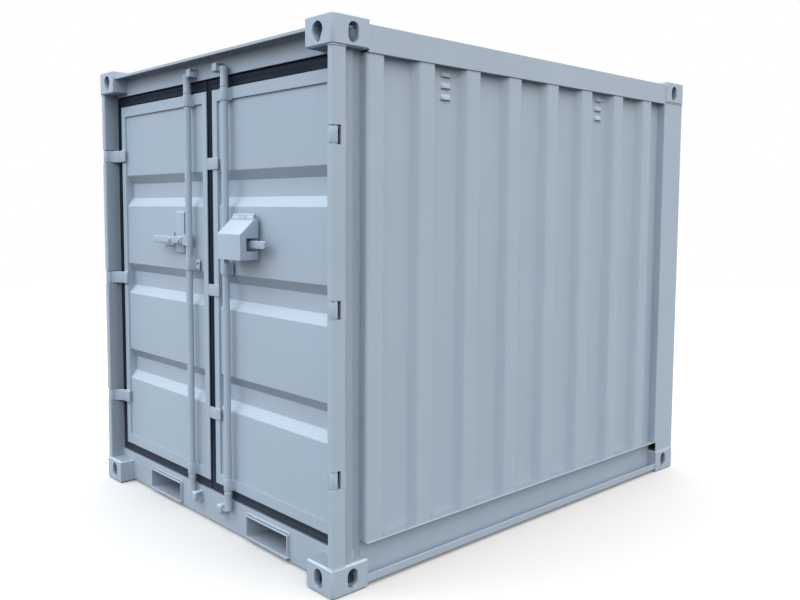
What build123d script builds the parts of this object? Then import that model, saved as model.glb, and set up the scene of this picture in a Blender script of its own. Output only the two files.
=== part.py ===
from build123d import *
import math
import os

os.makedirs("parts", exist_ok=True)

# Overall size
WIDTH = 2000.0
LENGTH = 2520.0
HEIGHT = 2200.0

# Corner fitting, one standard size
FITTING_LENGTH = 178.0
FITTING_WIDTH = 162.0
FITTING_HEIGHT = 118.0
FITTING_ROUND = 14.0
FITTING_RIM = 7.0
FITTING_WALL = 27.0
FITTING_INNER_WALL = 12.0
HOLE_FROM_END = 101.5
HOLE_FROM_SIDE = 89.0
SLOT_LENGTH = 124.0
SLOT_WIDTH = 63.5
HOLE_HEIGHT = 79.0
SIDE_HOLE_WIDTH = 51.0
SHIELD_WIDTH = 63.5
SHIELD_FOOT = 38.0
TOP_HOLE_DROP = 64.0
BOTTOM_HOLE_RISE = 59.0

# Planes of the shell
HALF = WIDTH / 2
FRONT = -LENGTH / 2
SKIN_INSET = 4.0
SKIN = HALF - SKIN_INSET
PLATE = 6.0
INNER_X = HALF - FITTING_WIDTH
RAIL_START = FRONT + FITTING_LENGTH
RAIL_END = -RAIL_START
SHOULDER = HEIGHT - FITTING_HEIGHT

# Door end, set back behind the fittings
DOOR_SETBACK = 77.0
DOOR_FACE = FRONT + DOOR_SETBACK
FRAME_DEPTH = 55.0
SILL_BOTTOM = 12.0
SILL_TOP = 155.0
HEADER_DROP = 34.0
HEADER_HEIGHT = 94.0
HEADER_TOP = HEIGHT - HEADER_DROP
HEADER_BOTTOM = HEADER_TOP - HEADER_HEIGHT
LIP_SETBACK = 10.0
LIP_EDGE = 14.0

# Front posts: a tube in front, a web and a door stop
STRIP_WIDTH = 34.0
STRIP_ROUND = 6.0
POST_SETBACK = 6.0
TUBE_DEPTH = 64.0
POST_WALL = 8.0
WEB_INSET = 22.0
STOP_REACH = 69.0
STOP_GAP = 7.0
STOP_DEPTH = 42.0
POST_FRONT = FRONT + POST_SETBACK
TUBE_BACK = POST_FRONT + TUBE_DEPTH
TUBE_IN = SKIN - STRIP_WIDTH
WEB_OUT = SKIN - WEB_INSET
WEB_IN = WEB_OUT - POST_WALL
STOP_IN = WEB_OUT - STOP_REACH

# Rear posts
REAR_POST_WIDTH = 146.0
REAR_POST_LENGTH = 192.0
REAR_POST_FOLD = 50.0
REAR_POST_RETURN = 46.0
REAR_POST_IN = SKIN - REAR_POST_WIDTH
REAR_POST_START = LENGTH / 2 - REAR_POST_LENGTH
REAR_FACE = LENGTH / 2 - POST_SETBACK
REAR_INNER = REAR_FACE - PLATE

# Side rails, walls and roof
RAIL_DROP = 21.0
TOP_RAIL_HEIGHT = 105.0
TOP_RAIL_WIDTH = 60.0
TOP_RAIL_WALL = 4.0
TOP_RAIL_TOP = HEIGHT - RAIL_DROP
TOP_RAIL_BOTTOM = TOP_RAIL_TOP - TOP_RAIL_HEIGHT
BOTTOM_RAIL_RISE = 17.0
BOTTOM_RAIL_HEIGHT = 161.0
BOTTOM_RAIL_TOP = BOTTOM_RAIL_RISE + BOTTOM_RAIL_HEIGHT
BOTTOM_RAIL_WIDTH = 52.0
BOTTOM_RAIL_LIP = 33.0
SHEET = 2.0
WALL_INSET = 9.0
WALL_OUT = HALF - WALL_INSET
WALL_DEPTH = 36.0
PITCH = 277.0
RIDGE = 82.0
SLOPE = 30.0
FIRST_RIDGE = 84.0
REAR_WALL_GAP = 6.0
ROOF_DEPTH = 20.0
ROOF_PITCH = 210.0
ROOF_SLOPE = 34.0

# Vents in the side walls
VENT_GROOVES = (1, 5)
VENT_COUNT = 3
VENT_PITCH = 47.0
VENT_DROP = 38.0
VENT_WIDTH = 62.0
VENT_HOOD = 24.0
VENT_OUT = 11.0
VENT_SLOT = 8.0
VENT_SHEET = 3.0

# Floor and base
FLOOR_THICK = 28.0
FLOOR_RISE = 3.0
FLOOR_TOP = SILL_TOP + FLOOR_RISE
FLOOR_UNDER = FLOOR_TOP - FLOOR_THICK
MEMBER_BOTTOM = 30.0
MEMBER_FLANGE = 45.0
MEMBER_WALL = 4.0
MEMBER_COUNT = 6
POCKET_CENTRE = 454.0
POCKET_WIDTH = 304.0
POCKET_BOTTOM = 30.0
POCKET_HEIGHT = 87.0
POCKET_WALL = 8.0
POCKET_RIM = 12.0

# Leaves
GAP = 5.0
SEAM_HALF = 26.0
LEAF_SIDE_GAP = 55.0
LEAF_END_GAP = 48.0
LEAF_HEAD_GAP = 55.0
LEAF_OUT = WEB_IN - LEAF_SIDE_GAP
LEAF_BOTTOM = SILL_TOP + LEAF_END_GAP
LEAF_TOP = HEADER_BOTTOM - LEAF_HEAD_GAP
LEAF_MIDDLE = (LEAF_BOTTOM + LEAF_TOP) / 2
LEAF_DEPTH = 50.0
LEAF_BACK = DOOR_FACE + LEAF_DEPTH
STILE = 40.0
LEAF_RAIL = 52.0
LEAF_WALL = 4.0
PANEL_RECESS = 9.0
PANEL_SHEET = 3.0
PANEL_FACE = DOOR_FACE + PANEL_RECESS
BAND_DEPTH = 30.0
BAND_PITCH = 465.0
BAND_HEIGHT = 163.0
BAND_SLOPE = 44.0
GASKET_SETBACK = 2.0
GASKET_DEPTH = 42.0
GASKET_LIP = 9.0
SEAM_GAP = 11.0
STOP_FRONT = LEAF_BACK + STOP_GAP
STOP_BACK = STOP_FRONT + STOP_DEPTH

# Hinges
HINGE_FROM_END = 258.0
HINGE_HEIGHTS = (LEAF_BOTTOM + HINGE_FROM_END, LEAF_MIDDLE, LEAF_TOP - HINGE_FROM_END)
KNUCKLE_RADIUS = 16.0
PIN_X = SKIN - KNUCKLE_RADIUS
PIN_Y = POST_FRONT + KNUCKLE_RADIUS
PIN_RADIUS = 7.0
PIN_CLEARANCE = 0.5
BLADE_HALF = 31.0
BLADE_THICK = 12.0
BLADE_BEND = 50.0
BLADE_REACH = 70.0
BLADE_ROUND = 8.0
NOTCH_HALF = 36.0
NOTCH_OUTER = 40.0
NOTCH_INNER = 52.0
LUG_THICK = 8.0
COLLAR_RADIUS = 14.0
COLLAR_PLAY = 0.5

# Lock bars, the pair a little to the right of the middle
BAR_SHIFT = 7.0
BAR_X = 164.0
BAR_RADIUS = 16.0
BAR_CLEARANCE = 0.5
HEAD_RADIUS = 17.5
CAP_RADIUS = 18.0
CAP_HEIGHT = 8.0
BAR_SETOFF = CAP_RADIUS + GAP
BAR_Y = DOOR_FACE - BAR_SETOFF
BAR_LOW_REACH = 43.0
BAR_HIGH_REACH = 33.0
BAR_LOW = SILL_TOP - BAR_LOW_REACH
BAR_HIGH = HEADER_BOTTOM + BAR_HIGH_REACH
GUIDE_RADIUS = 20.0
GUIDE_FOOT = 25.0
GUIDE_PLATE = 3.0
GUIDE_HEIGHT = 54.0
GUIDE_INSET = 5.0
LOW_GUIDE = LEAF_BOTTOM + GUIDE_INSET
HIGH_GUIDE = LEAF_TOP - GUIDE_INSET - GUIDE_HEIGHT

# Handles
HANDLE_HEIGHT = 1334.0
HANDLE_HALF = 17.0
HANDLE_THICK = 12.0
HANDLE_OUT = 6.0
HANDLE_LENGTH = 330.0
HANDLE_LAP = 40.0
HUB_HALF = 28.0
HUB_THICK = 24.0
HUB_REACH = 88.0
HUB_PIN = 7.0
MID_GUIDE_DROP = 142.0
MID_GUIDE = HANDLE_HEIGHT - MID_GUIDE_DROP
MID_PLATE_REACH = 86.0

# Lock box over the right handle
BOX_NEAR = 50.0
BOX_WIDTH = 184.0
BOX_SHEET = 4.0
BOX_LEFT = BAR_SHIFT + BAR_X + BOX_NEAR
BOX_RIGHT = BOX_LEFT + BOX_WIDTH
BOX_MIDDLE = (BOX_LEFT + BOX_RIGHT) / 2
BOX_PROUD = 18.0
BOX_BACK_GAP = 5.0
BOX_FRONT = FRONT - BOX_PROUD
BOX_BACK = DOOR_FACE - BOX_BACK_GAP
BOX_DROP = 66.0
BOX_FACE_RISE = 44.0
BOX_RISE = 109.0
BOX_BOTTOM = HANDLE_HEIGHT - BOX_DROP
BOX_FRONT_TOP = HANDLE_HEIGHT + BOX_FACE_RISE
BOX_TOP = HANDLE_HEIGHT + BOX_RISE
BOX_TOP_BACK = 18.0
ROLL_RADIUS = 7.0
ROLL_PIN = 3.0
ROLL_PLAY = 0.3
ROLL_FROM_BACK = 11.0
ROLL_RISE = 13.0
ROLL_Y = BOX_BACK - ROLL_FROM_BACK
ROLL_Z = BOX_TOP + ROLL_RISE
ROLL_SPLIT = 28.0
CARRIER_THICK = 5.0
CARRIER_GAP = 7.0
CARRIER_BACK = DOOR_FACE - CARRIER_GAP
CARRIER_FRONT = CARRIER_BACK - CARRIER_THICK
CARRIER_TAB = 50.0
CARRIER_TAB_RISE = 11.0

# Seam plates on the right leaf
SEAM_PLATE_REACH = 78.0
SEAM_PLATE_HALF = 27.0
SEAM_PLATE_STEPS = (-576.0, 0.0, 578.0)
SEAM_PLATE_ROUND = 8.0

# Backing plate and catch on the left leaf
BACKING_NEAR = 79.0
BACKING_WIDTH = 87.0
BACKING_LOW = 47.0
BACKING_HIGH = 136.0
CATCH_OUT = 209.0
CATCH_WIDTH = 26.0
CATCH_DROP = 11.0
CATCH_REACH = 54.0

# Notches and lug of the lock box
LEVER_NOTCH_FRONT = 30.0
LEVER_NOTCH_LOW = 29.0
LEVER_NOTCH_HIGH = 26.0
LUG_DROP = 24.0
LUG_DEPTH = 16.0
LUG_FROM_FRONT = 31.0

# Keepers
KEEPER_NEAR = 98.0
KEEPER_GAP = 5.0
KEEPER_REACH = 41.0
KEEPER_WALL = 6.0
KEEPER_ROUND = 6.0
TOP_KEEPER_HEIGHT = 40.0
LOW_KEEPER_HEIGHT = 44.0
TOP_KEEPER = HEADER_BOTTOM + 14.0
LOW_KEEPER = SILL_TOP - 69.0


def block(x0, x1, y0, y1, z0, z1, mode=Mode.ADD):
    """Add or cut a straight box between two corners, given in any order."""
    centre = ((x0 + x1) / 2, (y0 + y1) / 2, (z0 + z1) / 2)
    with Locations(centre):
        Box(abs(x1 - x0), abs(y1 - y0), abs(z1 - z0), mode=mode)


def rod(x, y, z0, z1, radius, mode=Mode.ADD):
    """Add or cut an upright round bar."""
    with Locations((x, y, (z0 + z1) / 2)):
        Cylinder(radius, z1 - z0, mode=mode)


def cross_rod(x0, x1, y, z, radius, mode=Mode.ADD):
    """Add or cut a round bar that lies along X."""
    with Locations(Location(((x0 + x1) / 2, y, z), (0, 90, 0))):
        Cylinder(radius, abs(x1 - x0), mode=mode)


def upright(points, z0, z1, mode=Mode.ADD):
    """Raise a closed outline of (x, y) points from z0 to z1."""
    with BuildSketch(Plane.XY.offset(z0)) as outline:
        with BuildLine():
            Polyline(*points, close=True)
        make_face()
    extrude(outline.sketch, amount=z1 - z0, mode=mode)


def across(points, x0, x1, mode=Mode.ADD):
    """Stretch a closed outline of (y, z) points from x0 to x1."""
    with BuildSketch(Plane.YZ.offset(min(x0, x1))) as outline:
        with BuildLine():
            Polyline(*points, close=True)
        make_face()
    extrude(outline.sketch, amount=abs(x1 - x0), mode=mode)


def bent_sheet(points, thick):
    """Outline of a sheet whose one face follows the points, with mitred corners."""
    normals = []
    for (x0, y0), (x1, y1) in zip(points, points[1:]):
        run = math.hypot(x1 - x0, y1 - y0)
        normals.append(((y0 - y1) / run, (x1 - x0) / run))
    other = []
    for i, (x, y) in enumerate(points):
        a = normals[max(i - 1, 0)]
        b = normals[min(i, len(normals) - 1)]
        scale = thick / (1 + a[0] * b[0] + a[1] * b[1])
        other.append((x + (a[0] + b[0]) * scale, y + (a[1] + b[1]) * scale))
    return points + other[::-1]


def finish(builder, name):
    """Label the built part and write it to its own file."""
    builder.part.label = name
    export_step(builder.part, "parts/" + name + ".step")


# Corner fittings
def shield(width, foot):
    """Draw a hole with a wide round head and a narrower round foot in the open sketch."""
    with Locations((0, (HOLE_HEIGHT - width) / 2)):
        Circle(width / 2)
    with Locations((0, (foot - HOLE_HEIGHT) / 2)):
        Circle(foot / 2)
    make_hull()


def corner_fitting(side, end, level, name):
    """A cast fitting: side -1 or 1, end -1 at the doors or 1 at the back, level 0 or 1."""
    x_out = side * HALF
    x_in = side * INNER_X
    y_out = end * LENGTH / 2
    y_in = end * RAIL_END
    z_low = level * SHOULDER
    z_high = z_low + FITTING_HEIGHT
    hole_x = x_out - side * HOLE_FROM_SIDE
    hole_y = y_out - end * HOLE_FROM_END
    hole_z = HEIGHT - TOP_HOLE_DROP if level else BOTTOM_HOLE_RISE
    deep = FITTING_WALL + 1
    with BuildPart() as fitting:
        block(x_out, x_in, y_out, y_in, z_low, z_high)
        corner = fitting.edges().filter_by(Axis.Z).sort_by_distance((x_out, y_out, z_low))[:1]
        fillet(corner, FITTING_ROUND)
        rims = fitting.edges().group_by(Axis.Z)
        chamfer(rims[-1] + rims[0], FITTING_RIM)
        block(x_out - side * FITTING_WALL, x_in + side * FITTING_INNER_WALL,
              y_out - end * FITTING_WALL, y_in + end * FITTING_INNER_WALL,
              z_low + FITTING_WALL, z_high - FITTING_WALL, mode=Mode.SUBTRACT)
        with BuildSketch(Plane.XY.offset(z_high if level else z_low)):
            with Locations((hole_x, hole_y)):
                SlotOverall(SLOT_LENGTH, SLOT_WIDTH, rotation=90)
        extrude(amount=-deep if level else deep, mode=Mode.SUBTRACT)
        with BuildSketch(Plane(origin=(hole_x, y_out, hole_z), x_dir=(1, 0, 0), z_dir=(0, -1, 0))):
            if level:
                shield(SHIELD_WIDTH, SHIELD_FOOT)
            else:
                SlotOverall(HOLE_HEIGHT, SIDE_HOLE_WIDTH, rotation=90)
        extrude(amount=end * deep, mode=Mode.SUBTRACT)
        with BuildSketch(Plane(origin=(x_out, hole_y, hole_z), x_dir=(0, 1, 0), z_dir=(1, 0, 0))):
            SlotOverall(HOLE_HEIGHT, SIDE_HOLE_WIDTH, rotation=90)
        extrude(amount=-side * deep, mode=Mode.SUBTRACT)
    finish(fitting, name)


for end, end_name in ((-1, "front"), (1, "rear")):
    for side, side_name in ((-1, "left"), (1, "right")):
        for level, level_name in ((0, "bottom"), (1, "top")):
            corner_fitting(side, end, level, f"fitting_{end_name}_{side_name}_{level_name}")


# Front posts, with a notch at each hinge
def front_post(side, name):
    """A rounded tube in front, a web beside the leaf and a stop behind it."""
    tube_centre = (side * (SKIN - STRIP_WIDTH / 2), POST_FRONT + TUBE_DEPTH / 2)
    with BuildPart() as post:
        with BuildSketch(Plane.XY.offset(FITTING_HEIGHT)):
            with Locations(tube_centre):
                RectangleRounded(STRIP_WIDTH, TUBE_DEPTH, STRIP_ROUND)
                Rectangle(STRIP_WIDTH - 2 * POST_WALL, TUBE_DEPTH - 2 * POST_WALL,
                          mode=Mode.SUBTRACT)
            with Locations((side * (WEB_OUT + WEB_IN) / 2, (TUBE_BACK - PLATE + STOP_BACK) / 2)):
                Rectangle(POST_WALL, STOP_BACK - TUBE_BACK + PLATE)
            with Locations((side * (WEB_OUT + STOP_IN) / 2, STOP_FRONT + PLATE / 2)):
                Rectangle(STOP_REACH, PLATE)
            with Locations((side * (STOP_IN + PLATE / 2), (STOP_FRONT + STOP_BACK) / 2)):
                Rectangle(PLATE, STOP_DEPTH)
        extrude(amount=SHOULDER - FITTING_HEIGHT)
        for z in HINGE_HEIGHTS:
            block(side * (TUBE_IN - 1), side * (PIN_X - 1), FRONT, POST_FRONT + NOTCH_INNER,
                  z - NOTCH_HALF, z + NOTCH_HALF, mode=Mode.SUBTRACT)
            block(side * (PIN_X - 2), side * (SKIN + 1), FRONT, POST_FRONT + NOTCH_OUTER,
                  z - NOTCH_HALF, z + NOTCH_HALF, mode=Mode.SUBTRACT)
    finish(post, name)


front_post(-1, "front_post_left")
front_post(1, "front_post_right")


# Hinge pins, each between two lugs inside the post's tube, with a collar at each lug
with BuildPart() as hinge_pins:
    for side in (-1, 1):
        for z in HINGE_HEIGHTS:
            for edge in (z - NOTCH_HALF - LUG_THICK, z + NOTCH_HALF):
                block(side * (TUBE_IN + POST_WALL), side * (SKIN - POST_WALL),
                      POST_FRONT + POST_WALL, TUBE_BACK - POST_WALL, edge, edge + LUG_THICK)
            rod(side * PIN_X, PIN_Y, z - NOTCH_HALF - LUG_THICK, z + NOTCH_HALF + LUG_THICK,
                PIN_RADIUS)
            near = BLADE_HALF + COLLAR_PLAY
            rod(side * PIN_X, PIN_Y, z + near, z + NOTCH_HALF, COLLAR_RADIUS)
            rod(side * PIN_X, PIN_Y, z - NOTCH_HALF, z - near, COLLAR_RADIUS)
finish(hinge_pins, "hinge_pins")


# Rear posts
def rear_post(side, name):
    """A folded plate section at a back corner, with a return beside the side wall."""
    with BuildPart() as post:
        with BuildSketch(Plane.XY.offset(FITTING_HEIGHT)):
            with BuildLine():
                fold = [(REAR_POST_IN, REAR_FACE - REAR_POST_FOLD), (REAR_POST_IN, REAR_FACE),
                        (SKIN, REAR_FACE), (SKIN, RAIL_END)]
                outline = bent_sheet(fold, -PLATE)
                Polyline(*[(side * x, y) for x, y in outline], close=True)
            make_face()
        extrude(amount=SHOULDER - FITTING_HEIGHT)
        with BuildSketch(Plane.XY.offset(BOTTOM_RAIL_TOP)):
            with BuildLine():
                fold = [(SKIN, RAIL_END), (SKIN, REAR_POST_START),
                        (SKIN - REAR_POST_RETURN, REAR_POST_START)]
                outline = bent_sheet(fold, -PLATE)
                Polyline(*[(side * x, y) for x, y in outline], close=True)
            make_face()
        extrude(amount=TOP_RAIL_BOTTOM - BOTTOM_RAIL_TOP)
    finish(post, name)


rear_post(-1, "rear_post_left")
rear_post(1, "rear_post_right")


# Door header with its rain lip
with BuildPart() as door_header:
    back = DOOR_FACE + FRAME_DEPTH
    lip = FRONT + LIP_SETBACK
    profile = [(DOOR_FACE, HEADER_BOTTOM), (back, HEADER_BOTTOM), (back, HEADER_TOP),
               (lip, HEADER_TOP), (lip, HEADER_TOP - LIP_EDGE),
               (lip + PLATE, HEADER_TOP - LIP_EDGE), (lip + PLATE, HEADER_TOP - PLATE),
               (DOOR_FACE, HEADER_TOP - PLATE)]
    across(profile, -INNER_X, INNER_X)
    block(-WEB_IN, WEB_IN, DOOR_FACE, back, HEADER_BOTTOM, SHOULDER)
    block(-INNER_X, INNER_X, DOOR_FACE + PLATE, back - PLATE,
          HEADER_BOTTOM + PLATE, HEADER_TOP - PLATE, mode=Mode.SUBTRACT)
finish(door_header, "door_header")


# Fork pockets
def pocket_box(side, y0, y1, grow, mode=Mode.SUBTRACT):
    """Cut or add the pocket's box, grown by a wall on each side."""
    x = side * POCKET_CENTRE
    reach = POCKET_WIDTH / 2 + grow
    block(x - reach, x + reach, y0, y1, POCKET_BOTTOM - grow,
          POCKET_BOTTOM + POCKET_HEIGHT + grow, mode=mode)


def member_starts():
    """Front faces of the cross members along the base."""
    step = (RAIL_END - RAIL_START) / (MEMBER_COUNT + 1)
    return [RAIL_START + step * (i + 1) for i in range(MEMBER_COUNT)]


def fork_pocket(side, name):
    """A box tube right through the base, with pads that carry the floor."""
    with BuildPart() as pocket:
        pocket_box(side, DOOR_FACE - POCKET_RIM, REAR_FACE, POCKET_WALL, mode=Mode.ADD)
        pocket_box(side, DOOR_FACE - POCKET_RIM, REAR_FACE, 0.0)
        x = side * POCKET_CENTRE
        reach = POCKET_WIDTH / 2 + POCKET_WALL
        top = POCKET_BOTTOM + POCKET_HEIGHT + POCKET_WALL
        for y in member_starts():
            block(x - reach, x + reach, y, y + MEMBER_FLANGE, top, FLOOR_UNDER)
    finish(pocket, name)


fork_pocket(-1, "fork_pocket_left")
fork_pocket(1, "fork_pocket_right")


# Door sill and rear bottom rail
def base_rail(y0, y1, upper_x, name):
    """A box rail between the bottom fittings, wider above them."""
    with BuildPart() as rail:
        block(-INNER_X, INNER_X, y0, y1, SILL_BOTTOM, SILL_TOP)
        block(-upper_x, upper_x, y0, y1, FITTING_HEIGHT, SILL_TOP)
        block(-INNER_X, INNER_X, y0 + PLATE, y1 - PLATE,
              SILL_BOTTOM + PLATE, SILL_TOP - PLATE, mode=Mode.SUBTRACT)
        for side in (-1, 1):
            pocket_box(side, y0, y1, POCKET_WALL)
    finish(rail, name)


base_rail(DOOR_FACE, DOOR_FACE + FRAME_DEPTH, WEB_IN, "door_sill")
base_rail(REAR_INNER - FRAME_DEPTH, REAR_INNER, REAR_POST_IN, "rear_bottom_rail")


# Rear top rail
with BuildPart() as rear_top_rail:
    y0 = REAR_INNER - TOP_RAIL_WIDTH
    block(-INNER_X, INNER_X, y0, REAR_INNER, TOP_RAIL_BOTTOM, TOP_RAIL_TOP)
    block(-REAR_POST_IN, REAR_POST_IN, y0, REAR_INNER, TOP_RAIL_BOTTOM, SHOULDER)
    block(-INNER_X, INNER_X, y0 + TOP_RAIL_WALL, REAR_INNER - TOP_RAIL_WALL,
          TOP_RAIL_BOTTOM + TOP_RAIL_WALL, TOP_RAIL_TOP - TOP_RAIL_WALL, mode=Mode.SUBTRACT)
finish(rear_top_rail, "rear_top_rail")


# Side rails
def top_rail(side, name):
    """The tube along the top of a side wall."""
    with BuildPart() as rail:
        inner = SKIN - TOP_RAIL_WIDTH
        wall = TOP_RAIL_WALL
        block(side * inner, side * SKIN, RAIL_START, RAIL_END, TOP_RAIL_BOTTOM, TOP_RAIL_TOP)
        block(side * (inner + wall), side * (SKIN - wall), RAIL_START, RAIL_END,
              TOP_RAIL_BOTTOM + wall, TOP_RAIL_TOP - wall, mode=Mode.SUBTRACT)
    finish(rail, name)


def bottom_rail(side, name):
    """The channel along the base, open outwards, with a lip on its lower flange."""
    with BuildPart() as rail:
        inner = SKIN - BOTTOM_RAIL_WIDTH
        low = BOTTOM_RAIL_RISE
        high = BOTTOM_RAIL_TOP
        with BuildSketch(Plane.XZ.offset(-RAIL_START)):
            with BuildLine():
                fold = [(SKIN, high), (inner, high), (inner, low), (SKIN, low),
                        (SKIN, low + BOTTOM_RAIL_LIP)]
                outline = bent_sheet(fold, PLATE)
                Polyline(*[(side * x, z) for x, z in outline], close=True)
            make_face()
        extrude(amount=RAIL_START - RAIL_END)
    finish(rail, name)


top_rail(-1, "top_rail_left")
top_rail(1, "top_rail_right")
bottom_rail(-1, "bottom_rail_left")
bottom_rail(1, "bottom_rail_right")


# Corrugated side walls with their hooded vents
FIRST_RIDGE_END = STOP_BACK + FIRST_RIDGE
RIDGE_COUNT = 1 + int((REAR_POST_START - FIRST_RIDGE_END - SLOPE) // PITCH)


def side_profile():
    """Outer face of a side wall as (x, y) points, from the front post to the rear post."""
    low = WALL_OUT - WALL_DEPTH
    points = [(low, STOP_BACK), (WALL_OUT, STOP_BACK)]
    for i in range(RIDGE_COUNT):
        end = FIRST_RIDGE_END + PITCH * i
        if i:
            points.append((low, end - RIDGE - SLOPE))
            points.append((WALL_OUT, end - RIDGE))
        points.append((WALL_OUT, end))
        points.append((low, end + SLOPE))
    points.append((low, REAR_POST_START))
    return points


def side_wall(side, name):
    """A folded sheet between the posts, with small hooded slots near the top."""
    face = WALL_OUT - WALL_DEPTH
    with BuildPart() as wall:
        outline = bent_sheet(side_profile(), SHEET)
        upright([(side * x, y) for x, y in outline], BOTTOM_RAIL_TOP, TOP_RAIL_BOTTOM)
        for groove in [g for g in VENT_GROOVES if g < RIDGE_COUNT - 1]:
            middle = FIRST_RIDGE_END + PITCH * groove + (PITCH - RIDGE) / 2
            y0 = middle - VENT_WIDTH / 2
            y1 = middle + VENT_WIDTH / 2
            for i in range(VENT_COUNT):
                z = TOP_RAIL_BOTTOM - VENT_DROP - VENT_PITCH * i
                hood = [(face - SHEET / 2, z + VENT_HOOD), (face + VENT_OUT, z + VENT_SHEET),
                        (face + VENT_OUT, z), (face - SHEET / 2, z)]
                with BuildSketch(Plane.XZ.offset(-y0)):
                    with BuildLine():
                        Polyline(*[(side * x, h) for x, h in hood], close=True)
                    make_face()
                extrude(amount=y0 - y1)
                block(side * (face - SHEET - 1), side * (face + VENT_OUT - VENT_SHEET),
                      y0 + VENT_SHEET, y1 - VENT_SHEET, z - 1, z - 1 + VENT_SLOT,
                      mode=Mode.SUBTRACT)
    finish(wall, name)


side_wall(-1, "side_wall_left")
side_wall(1, "side_wall_right")


# Corrugated rear wall
with BuildPart() as rear_wall:
    outer = REAR_INNER - REAR_WALL_GAP
    inner = outer - WALL_DEPTH
    count = int(2 * REAR_POST_IN // PITCH)
    first = -(count - 1) / 2 * PITCH
    points = [(-REAR_POST_IN, inner)]
    for i in range(count):
        middle = first + PITCH * i
        points.append((middle - RIDGE / 2 - SLOPE, inner))
        points.append((middle - RIDGE / 2, outer))
        points.append((middle + RIDGE / 2, outer))
        points.append((middle + RIDGE / 2 + SLOPE, inner))
    points.append((REAR_POST_IN, inner))
    upright(bent_sheet(points, -SHEET), SILL_TOP, TOP_RAIL_BOTTOM)
finish(rear_wall, "rear_wall")


# Roof sheet, folded across the width, with a flat plate at each end
with BuildPart() as roof:
    edge = SKIN - TOP_RAIL_WIDTH
    count = int((RAIL_END - RAIL_START) // ROOF_PITCH)
    ridge = ROOF_PITCH / 2 - ROOF_SLOPE
    low = TOP_RAIL_TOP - ROOF_DEPTH
    points = [(RAIL_START, low)]
    for i in range(count):
        middle = ROOF_PITCH * (i - (count - 1) / 2)
        points.append((middle - ridge / 2 - ROOF_SLOPE, low))
        points.append((middle - ridge / 2, TOP_RAIL_TOP))
        points.append((middle + ridge / 2, TOP_RAIL_TOP))
        points.append((middle + ridge / 2 + ROOF_SLOPE, low))
    points.append((RAIL_END, low))
    across(bent_sheet(points, -SHEET), -edge, edge)
    block(-INNER_X, INNER_X, DOOR_FACE + FRAME_DEPTH, RAIL_START, low - SHEET, low)
    block(-INNER_X, INNER_X, RAIL_END, REAR_INNER - TOP_RAIL_WIDTH, low - SHEET, low)
finish(roof, "roof")


# Cross members under the floor, in three runs beside the fork pockets
with BuildPart() as cross_members:
    reach = SKIN - BOTTOM_RAIL_WIDTH
    near = POCKET_CENTRE - POCKET_WIDTH / 2 - POCKET_WALL
    far = POCKET_CENTRE + POCKET_WIDTH / 2 + POCKET_WALL
    for x0, x1 in ((-reach, -far), (-near, near), (far, reach)):
        for y in member_starts():
            fold = [(y + MEMBER_FLANGE, FLOOR_UNDER), (y, FLOOR_UNDER), (y, MEMBER_BOTTOM),
                    (y + MEMBER_FLANGE, MEMBER_BOTTOM)]
            across(bent_sheet(fold, MEMBER_WALL), x0, x1)
finish(cross_members, "cross_members")


# Floor boards
with BuildPart() as floor:
    reach = SKIN - BOTTOM_RAIL_WIDTH
    block(-reach, reach, DOOR_FACE + FRAME_DEPTH, REAR_INNER - FRAME_DEPTH,
          FLOOR_UNDER, FLOOR_TOP)
    for side in (-1, 1):
        block(side * STOP_IN, side * HALF, DOOR_FACE, STOP_BACK, FLOOR_UNDER, FLOOR_TOP,
              mode=Mode.SUBTRACT)
finish(floor, "floor")


# Leaves
def leaf_frame(side, name):
    """A tube frame round one leaf, open at the ends of its stiles."""
    with BuildPart() as frame:
        wall = LEAF_WALL
        near = side * SEAM_HALF
        far = side * LEAF_OUT
        inner_near = side * (SEAM_HALF + STILE)
        inner_far = side * (LEAF_OUT - STILE)
        low = LEAF_BOTTOM + LEAF_RAIL
        high = LEAF_TOP - LEAF_RAIL
        block(near, far, DOOR_FACE, LEAF_BACK, LEAF_BOTTOM, LEAF_TOP)
        block(inner_near, inner_far, DOOR_FACE, LEAF_BACK, low, high, mode=Mode.SUBTRACT)
        for a, b in ((near, inner_near), (inner_far, far)):
            block(a + side * wall, b - side * wall, DOOR_FACE + wall, LEAF_BACK - wall,
                  LEAF_BOTTOM, LEAF_TOP, mode=Mode.SUBTRACT)
        for z0, z1 in ((LEAF_BOTTOM, low), (high, LEAF_TOP)):
            block(near + side * wall, far - side * wall, DOOR_FACE + wall, LEAF_BACK - wall,
                  z0 + wall, z1 - wall, mode=Mode.SUBTRACT)
    finish(frame, name)


def leaf_panel(side, name):
    """The pressed sheet of one leaf, with three bands pressed inwards."""
    with BuildPart() as panel:
        deep = PANEL_FACE + BAND_DEPTH
        half = BAND_HEIGHT / 2
        points = [(PANEL_FACE, LEAF_BOTTOM + LEAF_RAIL)]
        for i in (-1, 0, 1):
            z = LEAF_MIDDLE + BAND_PITCH * i
            points.append((PANEL_FACE, z - half))
            points.append((deep, z - half + BAND_SLOPE))
            points.append((deep, z + half - BAND_SLOPE))
            points.append((PANEL_FACE, z + half))
        points.append((PANEL_FACE, LEAF_TOP - LEAF_RAIL))
        across(bent_sheet(points, -PANEL_SHEET),
               side * (SEAM_HALF + STILE), side * (LEAF_OUT - STILE))
    finish(panel, name)


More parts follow.
